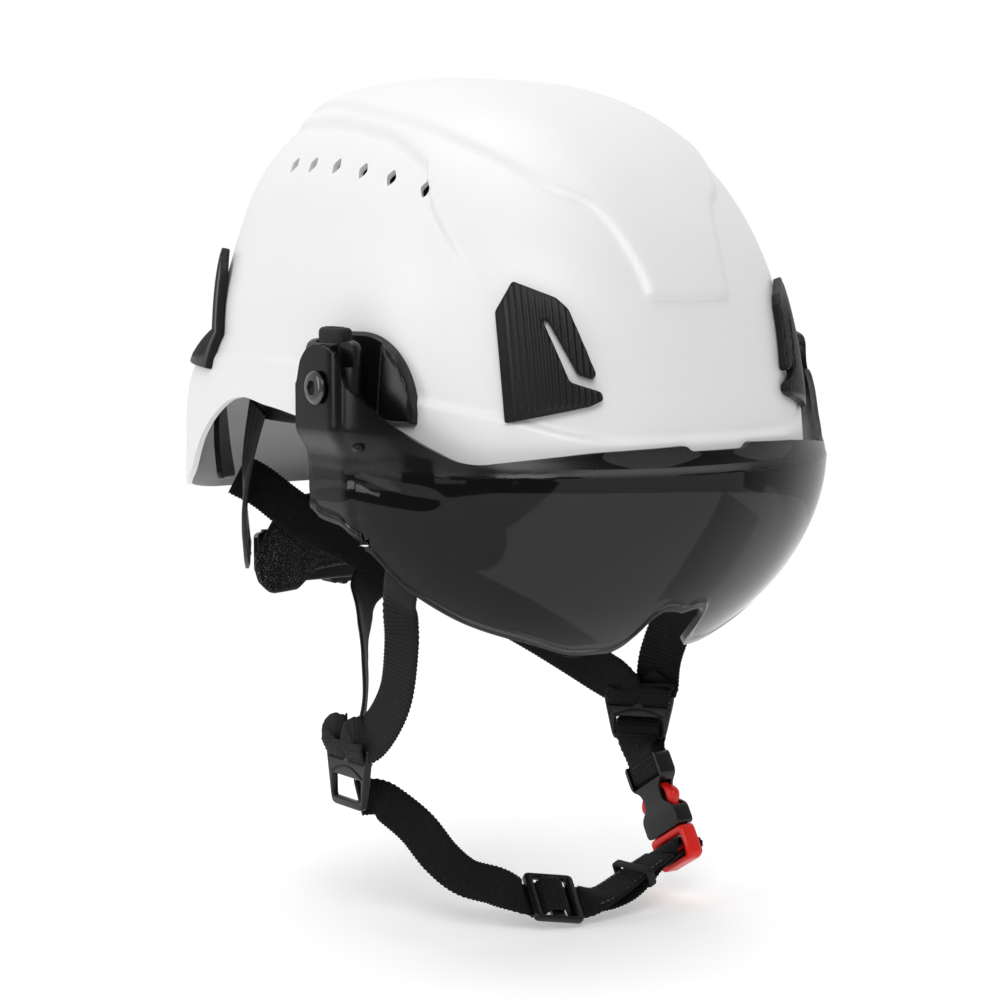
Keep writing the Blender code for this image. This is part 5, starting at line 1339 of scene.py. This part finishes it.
def adjuster_frame():
    """The adjuster's frame: local X along the strap towards its end, local Y across it."""
    start = Vector(CHIN_ROUTE[-1])
    end = Vector(CHIN_END_ROUTE[0])
    across_start = (start - Vector(CHIN_ROUTE[-2])).cross(Vector(CHIN_FACINGS[-1])).normalized()
    across_end = (Vector(CHIN_END_ROUTE[1]) - end).cross(Vector(CHIN_END_FACINGS[0])).normalized()
    return frame_matrix((start + end) / 2, end - start, across_start + across_end)


def make_adjuster():
    """The ladder lock, and the keeper that holds the strap's end."""
    matrix = adjuster_frame()
    outline = rounded([(-0.0118, -0.0125), (0.0118, -0.0125), (0.0118, 0.0125), (-0.0118, 0.0125)], 0.0028, 6)
    slots = [rounded([(x - 0.0024, -0.0104), (x + 0.0024, -0.0104), (x + 0.0024, 0.0104),
                      (x - 0.0024, 0.0104)], 0.0008, 3) for x in (-0.0055, 0.0055)]
    mesh = plate_mesh("adjuster", [outline, *slots], 0.0036, matrix, 0.0011, 3)
    add_object("chin_adjuster_moulding", mesh, "satin", replaces=("chin_adjuster",))
    centre, across, out, at = strap_frames(CHIN_END_ROUTE, CHIN_END_FACINGS, 0.0005)
    i = round(KEEPER_SHARE * (len(at) - 1))
    along = Vector(centre[i + 1] - centre[i - 1]).normalized()
    keeper = frame_matrix(centre[i], along, Vector(across[i]))
    outer = rounded([(-0.0118, -0.0042), (0.0118, -0.0042), (0.0118, 0.0042), (-0.0118, 0.0042)], 0.0024, 5)
    inner = rounded([(-0.0103, -0.0028), (0.0103, -0.0028), (0.0103, 0.0028), (-0.0103, 0.0028)], 0.0014, 5)
    ring_frame = keeper @ Matrix(((0, 0, 1, 0), (1, 0, 0, 0), (0, 1, 0, 0), (0, 0, 0, 1)))
    mesh = plate_mesh("keeper", [outer, inner], 0.0040, ring_frame, 0.0007, 3)
    add_object("strap_keeper_ring", mesh, "rubber", replaces=("strap_keeper",))


def make_buckle_loop():
    """Webbing from the left divider's lower bar to the buckle's bar, sewn to itself."""
    top = Vector(DIVIDERS["left"][0]) + Vector((0, 0, LOOP_TOP))
    bottom = BUCKLE_TOP + BUCKLE_AXIS * LOOP_BAR_DEPTH
    leg = 0.5 - LOOP_TURN
    steps = 260
    centre, across_list, facing_list = [], [], []
    for k in range(steps):
        place = k / steps
        if place < leg:
            share, turn = place / leg, 0.0
        elif place < 0.5:
            share, turn = 1.0, (place - leg) / LOOP_TURN * math.pi
        elif place < 0.5 + leg:
            share, turn = 1 - (place - 0.5) / leg, math.pi
        else:
            share, turn = 0.0, math.pi + (place - 0.5 - leg) / LOOP_TURN * math.pi
        half = 0.0044 + (0.0030 - 0.0044) * share
        twist = float(smoothstep(0, 0.6, share))
        facing = Vector((-0.8, -0.6, 0)).lerp(BUCKLE_FACE, twist).normalized()
        along = Vector((0, 0, -1)).lerp(BUCKLE_AXIS, twist).normalized()
        across = along.cross(facing).normalized()
        facing = across.cross(along)
        centre.append((top.lerp(bottom, share) + facing * half * math.cos(turn)
                       + along * half * math.sin(turn))[:])
        across_list.append(across[:])
        facing_list.append((facing * math.cos(turn) + along * math.sin(turn))[:])
    centre = np.array(centre)
    lengths = np.linalg.norm(np.roll(centre, -1, axis=0) - centre, axis=1)
    at = np.concatenate([[0.0], np.cumsum(lengths)[:-1]])
    total = lengths.sum()
    at = at * (round(total / RIB) * RIB / total)
    woven("buckle_loop_webbing", centre, np.array(across_list), np.array(facing_list), at, "webbing",
          0.020, 0.0014, None, ("buckle_loop",), closed=True)
    bm = bmesh.new()
    for share_a, share_b in ((0.30, 0.62), (0.64, 0.64)):
        for face in (-1, 1):
            points = []
            for share in np.linspace(share_a, max(share_b, share_a + 0.01), 6):
                i = int(share * leg * steps)
                j = i if face > 0 else int((1 - LOOP_TURN) * steps) - i
                base = Vector(centre[j]) + Vector(facing_list[j]) * 0.00095
                points.append(base)
            if share_b > share_a:
                stitch_line(bm, points, Vector(facing_list[j]))
            else:
                for line in (0.0, 0.0026, 0.0052):
                    base = points[0] + BUCKLE_AXIS * line
                    wide = Vector(across_list[j])
                    stitch_line(bm, [base - wide * 0.0092, base, base + wide * 0.0092],
                                Vector(facing_list[j]), 0.0016, 0.0007)
    add_object("buckle_loop_stitches", mesh_of("stitches", bm), "thread", body=ROOT)


def make_buckle():
    """Side-release buckle: shoulders beside the strap slot, a waist, side windows, and a red insert."""
    frame = buckle_frame()
    half, thick, foot = 0.01225, 0.0043, -BUCKLE_LENGTH
    side = [(half, 0.0010), (half, -0.0100), (0.0068, -0.0138), (0.0064, -0.0205), (half, -0.0248),
            (half, foot)]
    outline = rounded(side + [(-x, y) for x, y in side[::-1]], 0.0026, 6)
    mesh = plate_mesh("female", [outline], 2 * thick, frame)
    female = add_object("buckle_female_shell", mesh, "satin", replaces=("buckle_female",))
    bevel(female, 0.0020, 5, 60)
    apply_modifiers(female)
    cuts = (((-0.0100, -0.0600, -0.0024), (0.0100, -0.0122, 0.0024)),
            ((-0.0106, -0.0105, -0.0200), (0.0106, -0.0072, 0.0200)),
            ((-0.0106, -0.0080, 0.0012), (0.0106, 0.0100, 0.0200)),
            ((-0.0106, -0.0080, -0.0200), (0.0106, 0.0100, -0.0012)),
            ((-0.0300, -0.0250, -0.0030), (-0.0062, -0.0125, 0.0030)),
            ((0.0062, -0.0250, -0.0030), (0.0300, -0.0125, 0.0030)))
    for low, high in cuts:
        bm = bmesh.new()
        box_into(bm, low, high, frame)
        cut(female, mesh_of("cutter", bm))
    shade(female.data, 35)
    bevel(female, 0.0004, 2, 50)
    outline = rounded([(-half, foot - 0.0003), (-half, foot - 0.0110), (-0.0105, foot - 0.0160),
                       (0.0105, foot - 0.0160), (half, foot - 0.0110), (half, foot - 0.0003)], 0.0024, 6)
    slot = rounded([(-0.0096, foot - 0.0040), (0.0096, foot - 0.0040), (0.0096, foot - 0.0134),
                    (-0.0096, foot - 0.0134)], 0.0008, 4)
    mesh = plate_mesh("male", [outline, slot], 2 * thick, frame, 0.0016, 4)
    add_object("buckle_male_base", mesh, "red", replaces=("buckle_male",))
    bm = bmesh.new()
    for side in (-1, 1):
        rows = []
        for share in np.linspace(0, 1, 26):
            y = foot - 0.0030 + 0.0238 * share
            bulge = 0.0036 * math.exp(-((share - 0.74) / 0.17) ** 2)
            middle_x = 0.0078 + bulge * 0.55 - 0.0016 * float(smoothstep(0.86, 1.0, share))
            wide = 0.0017 + bulge * 0.45 - 0.0009 * float(smoothstep(0.85, 1.0, share))
            tall = 0.0021 + 0.0009 * math.exp(-((share - 0.74) / 0.2) ** 2)
            rows.append([(frame @ Vector((side * (middle_x + wide * math.cos(a)), y, tall * math.sin(a))))[:]
                         for a in np.linspace(0, 2 * math.pi, 24, endpoint=False)])
        verts = [[bm.verts.new(p) for p in row] for row in rows]
        for a, b in zip(verts, verts[1:]):
            for k in range(24):
                bm.faces.new((a[k], a[(k + 1) % 24], b[(k + 1) % 24], b[k]))
        bm.faces.new(verts[0])
        bm.faces.new(verts[-1][::-1])
    box_into(bm, (-0.0013, foot - 0.0030, -0.0019), (0.0013, -0.0230, 0.0019), frame, 0.0005, 2)
    add_object("buckle_male_prongs", mesh_of("prongs", bm), "red", body="buckle_tongue", smooth=50)
    bm = bmesh.new()
    lathe_into(bm, ((0, -0.0100), (0.0012, -0.0100), (0.0012, 0.0100), (0, 0.0100)),
               frame @ Matrix.Translation((0, foot - 0.0091, 0)) @ Matrix.Rotation(math.pi / 2, 4, "Y"), 20)
    add_object("buckle_male_bar", mesh_of("bar", bm), "red", body="buckle_tongue")


# ------------------------------------------------------------------ finishes of the CAD nodes still shown

CAD_FINISH = (("impact_liner", "foam"), ("strap_key", "plastic"), ("button_spring", "steel"),
              ("ratchet_housing", "plastic"), ("ratchet_cover", "satin"), ("ratchet_pinion", "plastic"),
              ("ratchet_rack", "plastic"))


def finish_cad_nodes():
    for name, node in NODES.items():
        for start, finish in CAD_FINISH:
            if name.startswith(start):
                node.data.materials.clear()
                node.data.materials.append(MATERIALS[finish])


# ------------------------------------------------------------------ stage, light and camera

def make_stage():
    bm = bmesh.new()
    bmesh.ops.create_circle(bm, cap_ends=True, segments=128, radius=FLOOR_RADIUS)
    floor = bpy.data.objects.new("floor", mesh_of("floor", bm))
    bpy.context.scene.collection.objects.link(floor)
    floor.location.z = FLOOR_Z
    made, _, shader = new_material("pale_floor")
    shader.inputs["Base Color"].default_value = (0.93, 0.93, 0.93, 1.0)
    shader.inputs["Roughness"].default_value = 0.9
    shader.inputs["Emission Color"].default_value = (1.0, 1.0, 1.0, 1.0)
    shader.inputs["Emission Strength"].default_value = FLOOR_GLOW
    floor.data.materials.append(made)


def add_light(name, place, target, size, power):
    light = bpy.data.lights.new(name, "AREA")
    light.shape = "RECTANGLE"
    light.size, light.size_y = size
    light.energy = power
    obj = bpy.data.objects.new(name, light)
    obj.location = place
    obj.rotation_euler = (Vector(target) - Vector(place)).to_track_quat("-Z", "Y").to_euler()
    bpy.context.scene.collection.objects.link(obj)


def make_studio():
    world = bpy.data.worlds.new("studio")
    world.use_nodes = True
    tree = world.node_tree
    background = tree.nodes["Background"]
    facing = tree.nodes.new("ShaderNodeVectorMath")
    facing.operation = "DOT_PRODUCT"
    facing.inputs[1].default_value = BACKDROP_DIRECTION
    tree.links.new(texture_coordinates(tree, "Generated"), facing.inputs[0])
    bright = tree.nodes.new("ShaderNodeMapRange")
    bright.inputs["From Min"].default_value = -0.1
    bright.inputs["From Max"].default_value = 0.6
    bright.inputs["To Min"].default_value = ROOM_LIGHT
    bright.inputs["To Max"].default_value = 1.0
    tree.links.new(facing.outputs["Value"], bright.inputs["Value"])
    tree.links.new(bright.outputs["Result"], background.inputs["Strength"])
    background.inputs["Color"].default_value = (1.0, 1.0, 1.0, 1.0)
    bpy.context.scene.world = world
    bpy.context.scene.view_settings.view_transform = "Standard"
    for name, place, size, power in LIGHTS:
        add_light(name, place, (0.0, 0.0, 0.0), size, power)
    camera = bpy.data.objects.new("camera", bpy.data.cameras.new("camera"))
    camera.data.lens = CAMERA_LENS
    camera.location = CAMERA_PLACE
    camera.rotation_euler = (Vector(CAMERA_AIM) - Vector(CAMERA_PLACE)).to_track_quat("-Z", "Y").to_euler()
    bpy.context.scene.collection.objects.link(camera)
    bpy.context.scene.camera = camera


make_shell()
make_liner()
for strap, plan, lift in CROWN_STRAPS:
    make_crown_strap(strap, plan, lift)
make_crown_pad()
make_headband()
make_nape_pad()
make_knob()
make_clips()
make_visor()
make_hinges()
make_dividers()
make_side_straps()
make_hangers()
make_chin_strap()
make_adjuster()
make_buckle_loop()
make_buckle()
finish_cad_nodes()
make_stage()
make_studio()
